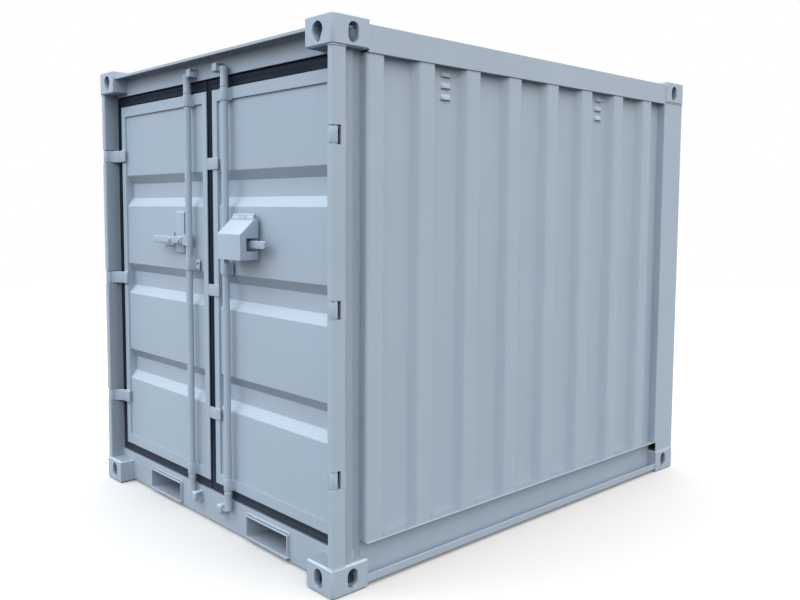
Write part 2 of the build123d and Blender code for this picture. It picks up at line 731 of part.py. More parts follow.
def leaf_gasket(side, name):
    """The rubber round one leaf, with a front bead; the right one covers the seam too."""
    with BuildPart() as gasket:
        y0 = DOOR_FACE + GASKET_SETBACK
        y1 = y0 + GASKET_DEPTH
        far = side * (WEB_IN - GAP)
        near = side * SEAM_HALF if side < 0 else -SEAM_HALF + SEAM_GAP
        block(near, far, y0 + GASKET_LIP, y1, SILL_TOP + GAP, HEADER_BOTTOM - GAP)
        block(near + side * GAP * (side > 0), far - side * GAP, y0, y0 + GASKET_LIP,
              SILL_TOP + 2 * GAP, HEADER_BOTTOM - 2 * GAP)
        block(side * SEAM_HALF, side * LEAF_OUT, y0, y1, LEAF_BOTTOM, LEAF_TOP,
              mode=Mode.SUBTRACT)
    finish(gasket, name)


def hinge_blades(side, name):
    """Three blades, each bent from the leaf to a knuckle round its pin."""
    flat = DOOR_FACE - BLADE_THICK
    path = [(PIN_X - 6, PIN_Y - 4), (PIN_X - BLADE_BEND, flat), (LEAF_OUT - BLADE_REACH, flat)]
    outline = bent_sheet(path, -BLADE_THICK)
    with BuildPart() as blades:
        for z in HINGE_HEIGHTS:
            with BuildSketch(Plane.XY.offset(z - BLADE_HALF)):
                with BuildLine():
                    Polyline(*[(side * x, y) for x, y in outline], close=True)
                make_face()
                with Locations((side * PIN_X, PIN_Y)):
                    Circle(KNUCKLE_RADIUS)
                    Circle(PIN_RADIUS + PIN_CLEARANCE, mode=Mode.SUBTRACT)
            extrude(amount=2 * BLADE_HALF)
        ends = blades.edges().filter_by(Axis.Y).sort_by(Axis.X)
        fillet(ends[-6:] if side < 0 else ends[:6], BLADE_ROUND)
    finish(blades, name)


# Bar guides, with the left catch or the right seam plates
def bar_guide(x, z0, z1, foot, plate):
    """A saddle round the bar that narrows from its foot on the leaf; needs its bore cut."""
    face = DOOR_FACE - plate
    with BuildSketch(Plane.XY.offset(z0)) as saddle:
        with Locations((x, BAR_Y)):
            Circle(GUIDE_RADIUS)
        with Locations((x, face - 1)):
            Rectangle(2 * foot, 2)
        make_hull()
    extrude(saddle.sketch, amount=z1 - z0)


def leaf_gear(side, name):
    """What is fixed to one leaf for its lock bar."""
    x = BAR_SHIFT + side * BAR_X
    with BuildPart() as gear:
        for z in (LOW_GUIDE, HIGH_GUIDE):
            bar_guide(x, z, z + GUIDE_HEIGHT, GUIDE_FOOT, 0.0)
        bar_guide(x, MID_GUIDE, MID_GUIDE + GUIDE_HEIGHT, GUIDE_FOOT, GUIDE_PLATE)
        block(x - side * MID_PLATE_REACH, x + side * GUIDE_FOOT, DOOR_FACE - GUIDE_PLATE,
              DOOR_FACE, MID_GUIDE, MID_GUIDE + GUIDE_HEIGHT)
        rod(x, BAR_Y, LOW_GUIDE, HIGH_GUIDE + GUIDE_HEIGHT, BAR_RADIUS + BAR_CLEARANCE,
            mode=Mode.SUBTRACT)
        if side > 0:
            for step in SEAM_PLATE_STEPS:
                z = LEAF_MIDDLE + step
                with BuildSketch(Plane.XZ.offset(-DOOR_FACE)):
                    with Locations(((SEAM_PLATE_REACH - SEAM_HALF + SEAM_GAP) / 2, z)):
                        RectangleRounded(SEAM_PLATE_REACH + SEAM_HALF - SEAM_GAP,
                                         2 * SEAM_PLATE_HALF, SEAM_PLATE_ROUND)
                extrude(amount=PLATE)
        else:
            near = x - BACKING_NEAR
            block(near - BACKING_WIDTH, near, PANEL_FACE - PLATE, PANEL_FACE,
                  HANDLE_HEIGHT - BACKING_LOW, HANDLE_HEIGHT + BACKING_HIGH)
            far = x - CATCH_OUT
            low = HANDLE_HEIGHT - HANDLE_HALF - CATCH_DROP
            block(far - CATCH_WIDTH / 2, far + CATCH_WIDTH / 2, PANEL_FACE - PLATE, PANEL_FACE,
                  low - 2 * PLATE, HANDLE_HEIGHT + 2 * HANDLE_HALF)
            block(far - CATCH_WIDTH / 2, far + CATCH_WIDTH / 2, PANEL_FACE - CATCH_REACH,
                  PANEL_FACE, low - PLATE, low)
    finish(gear, name)


for side, side_name in ((-1, "left"), (1, "right")):
    leaf_frame(side, side_name + "_leaf_frame")
    leaf_panel(side, side_name + "_leaf_panel")
    leaf_gasket(side, side_name + "_gasket")
    hinge_blades(side, side_name + "_hinge_blades")
    leaf_gear(side, side_name + "_leaf_gear")


# Lock bars, turned from one half profile
def lock_bar(side, name):
    """A round bar with a thicker head beyond each end guide and a cap on each head."""
    low_head = LOW_GUIDE - GAP
    high_head = HIGH_GUIDE + GUIDE_HEIGHT + GAP
    profile = [(0, BAR_LOW), (CAP_RADIUS, BAR_LOW), (CAP_RADIUS, BAR_LOW + CAP_HEIGHT),
               (HEAD_RADIUS, BAR_LOW + CAP_HEIGHT), (HEAD_RADIUS, low_head),
               (BAR_RADIUS, low_head), (BAR_RADIUS, high_head), (HEAD_RADIUS, high_head),
               (HEAD_RADIUS, BAR_HIGH - CAP_HEIGHT), (CAP_RADIUS, BAR_HIGH - CAP_HEIGHT),
               (CAP_RADIUS, BAR_HIGH), (0, BAR_HIGH)]
    foot = (BAR_SHIFT + side * BAR_X, BAR_Y, 0)
    with BuildPart() as bar:
        with BuildSketch(Plane(origin=foot, x_dir=(1, 0, 0), z_dir=(0, -1, 0))):
            with BuildLine():
                Polyline(*profile, close=True)
            make_face()
        revolve(axis=Axis(foot, (0, 0, 1)))
    finish(bar, name)


lock_bar(-1, "left_bar")
lock_bar(1, "right_bar")


# Handles
def handle(side, name):
    """A hub clamped on the bar and a lever; the right one carries the lock box's hinge."""
    x = BAR_SHIFT + side * BAR_X
    hub_end = x + side * HUB_REACH
    lever_y = BAR_Y - HUB_THICK / 2 - HANDLE_OUT + HANDLE_THICK / 2
    lever_start = hub_end - side * HANDLE_LAP
    lever_end = x + side * HANDLE_LENGTH
    with BuildPart() as lever:
        with BuildSketch(Plane.XZ.offset(-BAR_Y)):
            with Locations((x, HANDLE_HEIGHT)):
                Rectangle(4, 2 * HUB_HALF)
            with Locations((hub_end - side * HANDLE_HALF, HANDLE_HEIGHT)):
                Circle(HANDLE_HALF + 3)
            make_hull()
        extrude(amount=HUB_THICK / 2, both=True)
        rod(x, BAR_Y, HANDLE_HEIGHT - HUB_HALF, HANDLE_HEIGHT + HUB_HALF, HEAD_RADIUS)
        with BuildSketch(Plane.XZ.offset(-lever_y)):
            with Locations(((lever_start + lever_end) / 2, HANDLE_HEIGHT)):
                RectangleRounded(abs(lever_end - lever_start), 2 * HANDLE_HALF, HANDLE_HALF / 2)
        extrude(amount=HANDLE_THICK / 2, both=True)
        with BuildSketch(Plane.XZ.offset(-lever_y)):
            with Locations((hub_end - side * HANDLE_HALF, HANDLE_HEIGHT)):
                Circle(HUB_PIN)
        extrude(amount=HANDLE_THICK)
        rod(x, BAR_Y, HANDLE_HEIGHT - HUB_HALF, HANDLE_HEIGHT + HUB_HALF, BAR_RADIUS,
            mode=Mode.SUBTRACT)
        if side > 0:
            left = BOX_LEFT + BOX_SHEET + GAP
            right = BOX_RIGHT - BOX_SHEET - GAP
            block(left, right, CARRIER_FRONT, CARRIER_BACK,
                  BOX_BOTTOM + 3 * GAP, ROLL_Z - ROLL_RADIUS)
            block(BOX_MIDDLE - CARRIER_TAB, BOX_MIDDLE + CARRIER_TAB, CARRIER_FRONT + ROLL_PIN,
                  CARRIER_BACK, ROLL_Z - ROLL_RADIUS, ROLL_Z + CARRIER_TAB_RISE)
            block(BOX_MIDDLE - HANDLE_HALF, BOX_MIDDLE + HANDLE_HALF, lever_y, CARRIER_FRONT,
                  HANDLE_HEIGHT - HANDLE_HALF, HANDLE_HEIGHT + HANDLE_HALF)
            block(BOX_MIDDLE - ROLL_SPLIT, BOX_MIDDLE + ROLL_SPLIT, ROLL_Y, CARRIER_BACK,
                  ROLL_Z - ROLL_RADIUS, ROLL_Z)
            cross_rod(BOX_MIDDLE - ROLL_SPLIT, BOX_MIDDLE + ROLL_SPLIT, ROLL_Y, ROLL_Z,
                      ROLL_RADIUS)
            cross_rod(left, right, ROLL_Y, ROLL_Z, ROLL_PIN)
    finish(lever, name)


handle(-1, "left_handle")
handle(1, "right_handle")


# Lock box, which lifts on the roll along its top edge
with BuildPart() as lock_box:
    slope_y = BOX_BACK - BOX_TOP_BACK
    shape = [(BOX_FRONT, BOX_BOTTOM), (BOX_BACK, BOX_BOTTOM), (BOX_BACK, BOX_TOP - BOX_BACK_GAP),
             (BOX_BACK - BOX_BACK_GAP, BOX_TOP), (slope_y, BOX_TOP), (BOX_FRONT, BOX_FRONT_TOP)]
    across(shape, BOX_LEFT, BOX_RIGHT)
    drop = BOX_SHEET * 1.35
    hollow = [(BOX_FRONT + BOX_SHEET, BOX_BOTTOM - 1), (BOX_BACK + 1, BOX_BOTTOM - 1),
              (BOX_BACK + 1, BOX_TOP - drop), (slope_y, BOX_TOP - drop),
              (BOX_FRONT + BOX_SHEET, BOX_FRONT_TOP - drop + BOX_SHEET)]
    across(hollow, BOX_LEFT + BOX_SHEET, BOX_RIGHT - BOX_SHEET, mode=Mode.SUBTRACT)
    block(BOX_MIDDLE - CARRIER_TAB - GAP, BOX_MIDDLE + CARRIER_TAB + GAP, ROLL_Y,
          BOX_BACK + 1, BOX_TOP - 2 * drop, BOX_TOP + 1, mode=Mode.SUBTRACT)
    block(BOX_LEFT + BOX_SHEET, BOX_RIGHT - BOX_SHEET, slope_y + GAP, BOX_BACK + 1,
          BOX_TOP - 2 * drop, BOX_TOP + 1, mode=Mode.SUBTRACT)
    block(BOX_RIGHT - BOX_SHEET - 1, BOX_RIGHT + 1, BOX_FRONT + LEVER_NOTCH_FRONT, BOX_BACK + 1,
          HANDLE_HEIGHT - LEVER_NOTCH_LOW, HANDLE_HEIGHT + LEVER_NOTCH_HIGH, mode=Mode.SUBTRACT)
    block(BOX_LEFT - 1, BOX_LEFT + BOX_SHEET + 1, BAR_Y - HUB_THICK / 2 - HANDLE_OUT - GAP,
          BOX_BACK + 1, HANDLE_HEIGHT - HUB_HALF - GAP - 2, HANDLE_HEIGHT + HUB_HALF + GAP,
          mode=Mode.SUBTRACT)
    left = BOX_LEFT + BOX_SHEET + GAP
    right = BOX_RIGHT - BOX_SHEET - GAP
    for x0, x1 in ((left, BOX_MIDDLE - ROLL_SPLIT - 1), (BOX_MIDDLE + ROLL_SPLIT + 1, right)):
        tab = [(slope_y - 2 * BOX_SHEET, BOX_TOP - drop), (slope_y + GAP, BOX_TOP - drop),
               (ROLL_Y + 2, ROLL_Z - ROLL_PIN), (ROLL_Y - ROLL_RADIUS + 1, ROLL_Z)]
        across(tab, x0, x1)
        cross_rod(x0, x1, ROLL_Y, ROLL_Z, ROLL_RADIUS)
    cross_rod(left, right, ROLL_Y, ROLL_Z, ROLL_PIN + ROLL_PLAY, mode=Mode.SUBTRACT)
    lug_y = BOX_FRONT + LUG_FROM_FRONT
    block(BOX_LEFT, BOX_LEFT + BOX_SHEET, lug_y, lug_y + LUG_DEPTH,
          BOX_BOTTOM - LUG_DROP, BOX_BOTTOM)
finish(lock_box, "lock_box")


# Keepers on the header and the sill, each a short tube clear of the nearer bar's end
with BuildPart() as bar_keepers:
    far = BAR_X - BAR_SHIFT - CAP_RADIUS - KEEPER_GAP
    for side in (-1, 1):
        for low, tall in ((LOW_KEEPER, LOW_KEEPER_HEIGHT), (TOP_KEEPER, TOP_KEEPER_HEIGHT)):
            with BuildSketch(Plane.YZ.offset(KEEPER_NEAR if side > 0 else -far)):
                with Locations((DOOR_FACE - KEEPER_REACH / 2, low + tall / 2)):
                    RectangleRounded(KEEPER_REACH, tall, KEEPER_ROUND)
                    Rectangle(KEEPER_REACH - 2 * KEEPER_WALL, tall - 2 * KEEPER_WALL,
                              mode=Mode.SUBTRACT)
            extrude(amount=far - KEEPER_NEAR)
finish(bar_keepers, "bar_keepers")
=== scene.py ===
import math

import bpy
import numpy as np
from mathutils import Matrix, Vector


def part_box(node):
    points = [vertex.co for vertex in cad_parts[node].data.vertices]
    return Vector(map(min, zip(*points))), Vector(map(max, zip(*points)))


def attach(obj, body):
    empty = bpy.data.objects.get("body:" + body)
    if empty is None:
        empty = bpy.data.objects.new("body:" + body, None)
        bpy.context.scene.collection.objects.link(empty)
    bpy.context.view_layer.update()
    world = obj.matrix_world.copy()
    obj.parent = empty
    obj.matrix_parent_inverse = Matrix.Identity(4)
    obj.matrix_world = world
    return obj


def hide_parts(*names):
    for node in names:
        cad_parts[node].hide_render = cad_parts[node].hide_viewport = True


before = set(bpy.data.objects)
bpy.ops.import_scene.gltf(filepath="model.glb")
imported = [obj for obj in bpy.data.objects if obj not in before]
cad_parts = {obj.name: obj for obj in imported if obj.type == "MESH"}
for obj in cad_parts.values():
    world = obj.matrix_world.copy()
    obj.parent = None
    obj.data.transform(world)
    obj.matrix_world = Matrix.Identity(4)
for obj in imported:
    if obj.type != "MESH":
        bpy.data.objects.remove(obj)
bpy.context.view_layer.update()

bl_info = {
    "name": "Short Steel Container",
    "version": (1, 0, 0),
    "blender": (4, 5, 0),
    "location": "View3D > Sidebar > Container",
    "description": "Dresses the packed container with folded walls, door gear, rubber, boards and paint",
    "category": "Object",
}


def linear(code):
    """An sRGB hex colour as linear red, green and blue."""
    c = np.array([int(code[i:i + 2], 16) for i in (0, 2, 4)]) / 255.0
    return tuple(np.where(c <= 0.04045, c / 12.92, ((c + 0.055) / 1.055) ** 2.4))


# Places taken from the frame, in metres
def low(node):
    return np.array(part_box(node)[0])


def high(node):
    return np.array(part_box(node)[1])


HALF, _, TOP = high("fitting_front_right_top")
FRONT = low("fitting_front_right_top")[1]
BACK = high("fitting_rear_right_top")[1]
FACE = low("left_leaf_frame")[1]
SILL = high("door_sill")[2]

# Sizes that several pieces share, in metres
POST_WIDE, POST_DEEP, POST_WALL = 0.034, 0.064, 0.008
PIN_X, PIN_Y = HALF - 0.020, FRONT + 0.022
BLADE_THICK, BLADE_TALL = 0.012, 0.062
NOTCH_HALF, LUG_TALL = 0.036, 0.008
FOLD_PITCH, FOLD_DEEP, FOLD_RUN, FOLD_FLAT = 0.277, 0.036, 0.030, 0.082
GUIDE_TALL, HUB_HALF = 0.054, 0.028
BOX_SHEET, ROLL_RADIUS = 0.004, 0.007
ROLL_Y, ROLL_Z = FACE - 0.016, high("lock_box")[2] - ROLL_RADIUS

SIDES = (("left", -1), ("right", 1))

# Where an outline's u, v and its way w lie: a plan carried up, a side view carried
# across and a front view carried along
PLAN, SIDE_VIEW, FRONT_VIEW = (0, 1, 2), (1, 2, 0), (0, 2, 1)

PLATE, SHEET, GEAR = ("alkyd_paint_on_plate", "alkyd_paint_on_sheet",
                      "alkyd_paint_on_door_gear")


class ContainerSizes(bpy.types.PropertyGroup):
    """Sizes of the dressed pieces"""
    fold_radius: bpy.props.FloatProperty(
        name="Fold radius", description="Inside radius of the folds in the wall sheets",
        default=0.015, min=0.002, max=0.02, unit='LENGTH')
    edge_round: bpy.props.FloatProperty(
        name="Edge rounding", description="Rounding on the edges of plates and tubes",
        default=0.0022, min=0.0005, max=0.004, unit='LENGTH')
    sheet: bpy.props.FloatProperty(
        name="Sheet", description="Thickness of the wall sheets",
        default=0.002, min=0.001, max=0.004, unit='LENGTH')
    weld: bpy.props.FloatProperty(
        name="Weld leg", description="Leg length of the fillet welds",
        default=0.0075, min=0.002, max=0.010, unit='LENGTH')
    board: bpy.props.FloatProperty(
        name="Board width", description="Width of one floor board",
        default=0.236, min=0.1, max=0.6, unit='LENGTH')


class ContainerColours(bpy.types.PropertyGroup):
    """Colours of the finishes"""
    paint: bpy.props.FloatVectorProperty(
        name="Paint", description="Topcoat on all the steel",
        subtype='COLOR', default=linear("A5B4C3"), min=0, max=1)
    rubber: bpy.props.FloatVectorProperty(
        name="Rubber", description="Door rubbers",
        subtype='COLOR', default=linear("111C2B"), min=0, max=1)
    board: bpy.props.FloatVectorProperty(
        name="Boards", description="Floor boards",
        subtype='COLOR', default=linear("8A6A4A"), min=0, max=1)
    zinc: bpy.props.FloatVectorProperty(
        name="Zinc", description="Plated screws in the floor",
        subtype='COLOR', default=linear("C2C4C6"), min=0, max=1)


# Shapes

def rectangle(u0, u1, v0, v1):
    """The four corners of a rectangle, anticlockwise from the lowest."""
    return [(u0, v0), (u1, v0), (u1, v1), (u0, v1)]


def mirrored(half):
    """A half profile (radius, height below 0) and its mirror image above 0."""
    return half + [(r, -h) for r, h in half[::-1]]


def rounded(points, radius, steps=5, closed=True):
    """Outline with each corner replaced by an arc.

    At a corner P with unit directions a and b towards its neighbours, the arc of
    radius r starts and ends at the distance r / tan(half angle) from P, capped at
    0.45 of the shorter side, and its centre lies on the bisector.
    """
    p = np.asarray(points, float)
    n = len(p)
    radii = np.broadcast_to(radius, (n,))
    out = []
    for i in range(n):
        a, b = p[i - 1] - p[i], p[(i + 1) % n] - p[i]
        la, lb = np.linalg.norm(a), np.linalg.norm(b)
        a, b = a / la, b / lb
        half = 0.5 * math.acos(float(np.clip(a @ b, -1, 1)))
        is_end = not closed and i in (0, n - 1)
        if is_end or radii[i] <= 0 or half > 1.55 or half < 0.02:
            out.append(p[i:i + 1])
            continue
        cut = min(radii[i] / math.tan(half), 0.45 * min(la, lb))
        r = cut * math.tan(half)
        m = (a + b) / np.linalg.norm(a + b)
        centre = p[i] + m * (r / math.sin(half))
        s, e = p[i] + a * cut - centre, p[i] + b * cut - centre
        w = math.acos(float(np.clip(s @ e / (r * r), -1, 1)))
        t = np.linspace(0, 1, steps + 1)[:, None]
        out.append(centre + (np.sin((1 - t) * w) * s + np.sin(t * w) * e) / math.sin(w))
    return np.concatenate(out)


def normals(p, closed):
    """Unit normals of a polyline: the mean of the two sides' left-hand normals, made
    longer by 1 / cos(half the turn), so that an offset keeps the sheet's thickness."""
    d = np.diff(np.concatenate([p, p[:1]]) if closed else p, axis=0)
    d = d / np.maximum(np.linalg.norm(d, axis=1, keepdims=True), 1e-12)
    e = np.stack([-d[:, 1], d[:, 0]], 1)
    before = np.roll(e, 1, axis=0) if closed else np.concatenate([e[:1], e])
    after = e if closed else np.concatenate([e, e[-1:]])
    s = before + after
    return s / np.maximum((s * s).sum(1, keepdims=True) / 2, 0.3)


def band(points, thick, radius):
    """Closed outline of a folded sheet: the rounded centre line, offset by half the
    thickness to each side."""
    c = rounded(points, radius, closed=False)
    n = normals(c, False)
    return np.concatenate([c + n * thick / 2, (c - n * thick / 2)[::-1]])


def inset(outline, by):
    """Outline moved inwards by a distance along its normals, whichever way it runs."""
    p = np.asarray(outline, float)
    area = np.cross(p, np.roll(p, -1, axis=0)).sum()
    return p + normals(p, True) * by * (1 if area > 0 else -1)


def place(uv, w, axes):
    """Points (u, v) at the height w as (x, y, z); axes names where u, v and w go."""
    out = np.empty((len(uv), 3))
    out[:, axes[0]], out[:, axes[1]], out[:, axes[2]] = uv[:, 0], uv[:, 1], w
    return out


def tube_faces(rings, count, loop):
    """Quads between neighbouring rings of count points, with a polygon on each end of
    a tube that isn't a loop."""
    r = np.arange(rings if loop else rings - 1)[:, None]
    c = np.arange(count)[None, :]
    nxt = (c + 1) % count
    up = (r + 1) % rings
    quads = np.stack([r * count + c, r * count + nxt, up * count + nxt, up * count + c], -1)
    faces = quads.reshape(-1, 4).tolist()
    if not loop:
        faces.append(np.arange(count)[::-1].tolist())
        faces.append((np.arange(count) + (rings - 1) * count).tolist())
    return faces


def flat(thick, width, corner):
    """Section of a flat bar: a rectangle round 0 with rounded corners."""
    t, w = thick / 2, width / 2
    return rounded(rectangle(-t, t, -w, w), corner, 3)


class Shell:
    """Several closed surfaces gathered into one mesh."""

    def __init__(self):
        self.points, self.faces, self.count = [], [], 0

    def add(self, points, faces):
        """Takes points (n, 3) and faces from 0, turned outwards if their volume,
        the sum of a . (b x c) / 6 over the fans of the faces, is negative."""
        p = np.asarray(points, float).reshape(-1, 3)
        fans = [(f[0], f[i], f[i + 1]) for f in faces for i in range(1, len(f) - 1)]
        t = p[np.array(fans)] - p.mean(0)
        if np.einsum('ij,ij->i', t[:, 0], np.cross(t[:, 1], t[:, 2])).sum() < 0:
            faces = [f[::-1] for f in faces]
        self.faces += [[i + self.count for i in f] for f in faces]
        self.points.append(p)
        self.count += len(p)

    def rings(self, rings, loop=False):
        """Takes rings (n, m, 3) of points as one tube."""
        rings = np.asarray(rings, float)
        self.add(rings, tube_faces(rings.shape[0], rings.shape[1], loop))

    def bar(self, outline, w0, w1, axes, edge=0.0, steps=3):
        """An outline carried straight from w0 to w1. Near each end the outline is inset
        by e(1 - sin a) and lies e(1 - cos a) from the end, a from 0 to 90 degrees."""
        w0, w1 = min(w0, w1), max(w0, w1)
        if edge <= 0:
            self.rings([place(outline, w0, axes), place(outline, w1, axes)])
            return
        a = np.linspace(0, math.pi / 2, steps + 1)
        shapes = [inset(outline, edge * (1 - math.sin(t))) for t in a]
        rise = edge * (1 - np.cos(a))
        first = [place(s, w0 + h, axes) for s, h in zip(shapes, rise)]
        last = [place(s, w1 - h, axes) for s, h in zip(shapes[::-1], rise[::-1])]
        self.rings(first + last)

    def turned(self, profile, centre, axis=2, around=48, loop=False):
        """A half profile (radius, height) turned round an axis: at the angle t a point
        is centre + r cos t, centre + r sin t, h. A loop closes on itself as a ring."""
        p = np.asarray(profile, float)
        t = np.linspace(0, 2 * math.pi, around, endpoint=False)
        u, v = [i for i in range(3) if i != axis]
        rings = np.empty((len(p), around, 3))
        rings[:, :, u] = centre[u] + p[:, :1] * np.cos(t)
        rings[:, :, v] = centre[v] + p[:, :1] * np.sin(t)
        rings[:, :, axis] = centre[axis] + p[:, 1:]
        self.rings(rings, loop)

    def swept(self, path, section, w, axes, loop=False, scale=None):
        """A section (a, b) carried along a flat path: at each point a goes along the
        path's normal and b goes across its plane from w, both times that point's scale."""
        p = np.asarray(path, float)
        s = np.broadcast_to(section, (len(p),) + section.shape)
        if scale is not None:
            s = s * scale[:, None, :]
        uv = p[:, None] + normals(p, loop)[:, None] * s[:, :, :1]
        out = np.empty(s.shape[:2] + (3,))
        out[:, :, axes[0]], out[:, :, axes[1]] = uv[:, :, 0], uv[:, :, 1]
        out[:, :, axes[2]] = w + s[:, :, 1]
        self.rings(out, loop)

    def box(self, x, y, z, edge, corner=None, axes=PLAN):
        """A plate or block between pairs of bounds, with its edges rounded at both ends
        of the last axis and its corners by another radius, or 1.4 times the edge's."""
        (u0, u1), (v0, v1), (w0, w1) = (sorted((x, y, z)[i]) for i in axes)
        shape = rounded(rectangle(u0, u1, v0, v1), edge * 1.4 if corner is None else corner, 4)
        self.bar(shape, w0, w1, axes, edge)

    def bolt(self, centre, across, tall):
        """A hexagon head on a washer, pointing to the front. The head's outline is a
        hexagon across flats, and its top edge is cut back."""
        x, y, z = centre
        for count, turn, r, start, end, edge in (
                (24, 0.0, across * 0.78, y + 0.001, y - 0.0018, 0.0006),
                (6, 0.3, across / 2 / math.cos(math.pi / 6), y, y - tall, 0.0012)):
            t = np.linspace(0, 2 * math.pi, count, endpoint=False) + turn
            outline = np.stack([x + r * np.cos(t), z + r * np.sin(t)], 1)
            self.bar(outline, start, end, FRONT_VIEW, edge, 2)

    def weld(self, path, radius, pitch=0.007, seed=0):
        """A weld bead along a path of points. Its radius is r(1 + 0.12 sin(2 pi s / p)
        + 0.1 n(s)), with s the length along the path and n a slow seeded wobble."""
        p = np.asarray(path, float)
        run = np.concatenate([[0], np.cumsum(np.linalg.norm(np.diff(p, axis=0), axis=1))])
        s = np.linspace(0, run[-1], max(int(run[-1] / (pitch / 2.5)), 4))
        c = np.stack([np.interp(s, run, p[:, i]) for i in range(3)], 1)
        d = np.gradient(c, axis=0)
        d /= np.linalg.norm(d, axis=1, keepdims=True)
        ref = np.where(np.abs(d[:, 2:]) < 0.9, [[0, 0, 1.0]], [[1.0, 0, 0]])
        a = np.cross(d, ref)
        a /= np.linalg.norm(a, axis=1, keepdims=True)
        b = np.cross(d, a)
        slow = np.interp(s, np.linspace(0, run[-1], 40),
                         np.random.default_rng(seed).uniform(-1, 1, 40))
        r = radius * (1 + 0.12 * np.sin(2 * math.pi * s / pitch) + 0.1 * slow)
        r[[0, -1]] *= 0.3
        t = np.linspace(0, 2 * math.pi, 7, endpoint=False)[None, :, None]
        self.rings(c[:, None] + r[:, None, None] * (np.cos(t) * a[:, None]
                                                    + np.sin(t) * b[:, None]))

    def put(self, name, finish_name, body, stands_for="", smooth=32):
        """Makes the object, which rides on a body and stands for a node: a smooth
        surface that stays sharp where faces turn by more degrees than smooth."""
        mesh = bpy.data.meshes.new(name)
        mesh.from_pydata(np.concatenate(self.points).tolist(), [], self.faces)
        mesh.polygons.foreach_set("use_smooth", np.ones(len(mesh.polygons), bool))
        mesh.set_sharp_from_angle(angle=math.radians(smooth))
        mesh.materials.append(finish(finish_name))
        mesh.update()
        obj = bpy.data.objects.new(name, mesh)
        bpy.context.scene.collection.objects.link(obj)
        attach(obj, body)
        if stands_for:
            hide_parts(stands_for)


# Finishes

def add(tree, kind, inputs=None, **values):
    """Adds a node. Each input, by its number or name, takes a constant, a socket or
    another node's first output in use; values set properties or inputs by name."""
    n = tree.nodes.new("ShaderNode" + kind)
    for key, value in values.items():
        if hasattr(n, key):
            setattr(n, key, value)
        else:
            n.inputs[key.replace("_", " ")].default_value = value
    for key, value in (inputs or {}).items():
        if isinstance(value, bpy.types.Node):
            value = next(s for s in value.outputs if s.enabled)
        if isinstance(value, bpy.types.NodeSocket):
            tree.links.new(n.inputs[key], value)
        else:
            n.inputs[key].default_value = value
    return n


def material(name):
    """A new material with its tree, its shader and the Object coordinates."""
    m = bpy.data.materials.new(name)
    m.use_nodes = True
    t = m.node_tree
    t.nodes.clear()
    shader = add(t, "BsdfPrincipled")
    add(t, "OutputMaterial", {"Surface": shader})
    return m, t, shader, add(t, "TexCoord").outputs["Object"]


def dirt_and_painted_light(t, base, layers):
    """Lays layers of colour over a colour: dust and dirt, and in the painted steel also painted light
    and shade. Each is (what it follows, where it starts, where it is full, how much of it shows there, a
    pattern that thins it or None, its colour)."""
    for follows, start, full, most, thinned, colour in layers:
        part = add(t, "MapRange", {0: follows}, From_Min=start, From_Max=full, To_Max=most)
        if thinned:
            part = add(t, "Math", {0: part, 1: thinned}, operation='MULTIPLY')
        base = add(t, "Mix", {0: part, 6: base, 7: (*linear(colour), 1)}, data_type='RGBA')
    return base


def casting_hole_shade(t, where):
    """Painted shade inside the castings' holes: with c the container's middle, m the way from there to a
    casting's middle and h half its size, a place p lies as deep in its casting as the least part of h -
    | |p - c| - m |. The painted shade starts at 6 mm and is full at 14 mm."""
    lo, hi = low("fitting_front_right_top"), high("fitting_front_right_top")
    middle = np.array((0.0, 0.0, TOP / 2))
    centre = np.abs((lo + hi) / 2 * (1, -1, 1) - middle)
    for away in (middle, centre):
        step = add(t, "VectorMath", {0: where, 1: tuple(away)}, operation='SUBTRACT')
        where = add(t, "VectorMath", {0: step}, operation='ABSOLUTE')
    depth = add(t, "VectorMath", {0: tuple((hi - lo) / 2), 1: where}, operation='SUBTRACT')
    x, y, z = add(t, "SeparateXYZ", {0: depth}).outputs
    least = add(t, "Math", {0: x, 1: y}, operation='MINIMUM')
    least = add(t, "Math", {0: least, 1: z}, operation='MINIMUM')
    return add(t, "MapRange", {0: least}, From_Min=0.006, From_Max=0.014, To_Max=0.45)


def post_recess_shade(t, where):
    """Painted shade on the posts' inner sides and webs, which lie more than 30 mm in from the
    container's sides and start 8 mm behind its front."""
    x, y, _ = add(t, "SeparateXYZ", {0: where}).outputs
    across = add(t, "Math", {0: x}, operation='ABSOLUTE')
    inner = add(t, "MapRange", {0: across}, From_Min=HALF - 0.024, From_Max=HALF - 0.036,
                To_Max=0.28)
    behind = add(t, "MapRange", {0: y}, From_Min=FRONT + 0.008, From_Max=FRONT + 0.014)
    return add(t, "Math", {0: inner, 1: behind}, operation='MULTIPLY')


def roof_shade_and_stains(t, where):
    """Painted shade on what faces up on the roof, which holds back the strong light from above, and
    stains where water has stood, which make it darker in patches of 200 to 600 mm."""
    facing = add(t, "SeparateXYZ", {0: add(t, "NewGeometry").outputs["Normal"]})
    upward = add(t, "MapRange", {0: facing.outputs[2]}, From_Max=0.4)
    stains = add(t, "TexNoise", {"Vector": where}, Scale=2.6, Detail=5.0, Roughness=0.6)
    film = add(t, "MapRange", {0: stains}, From_Min=0.35, From_Max=0.65, To_Min=0.42, To_Max=0.62)
    return add(t, "Math", {0: upward, 1: film}, operation='MULTIPLY')


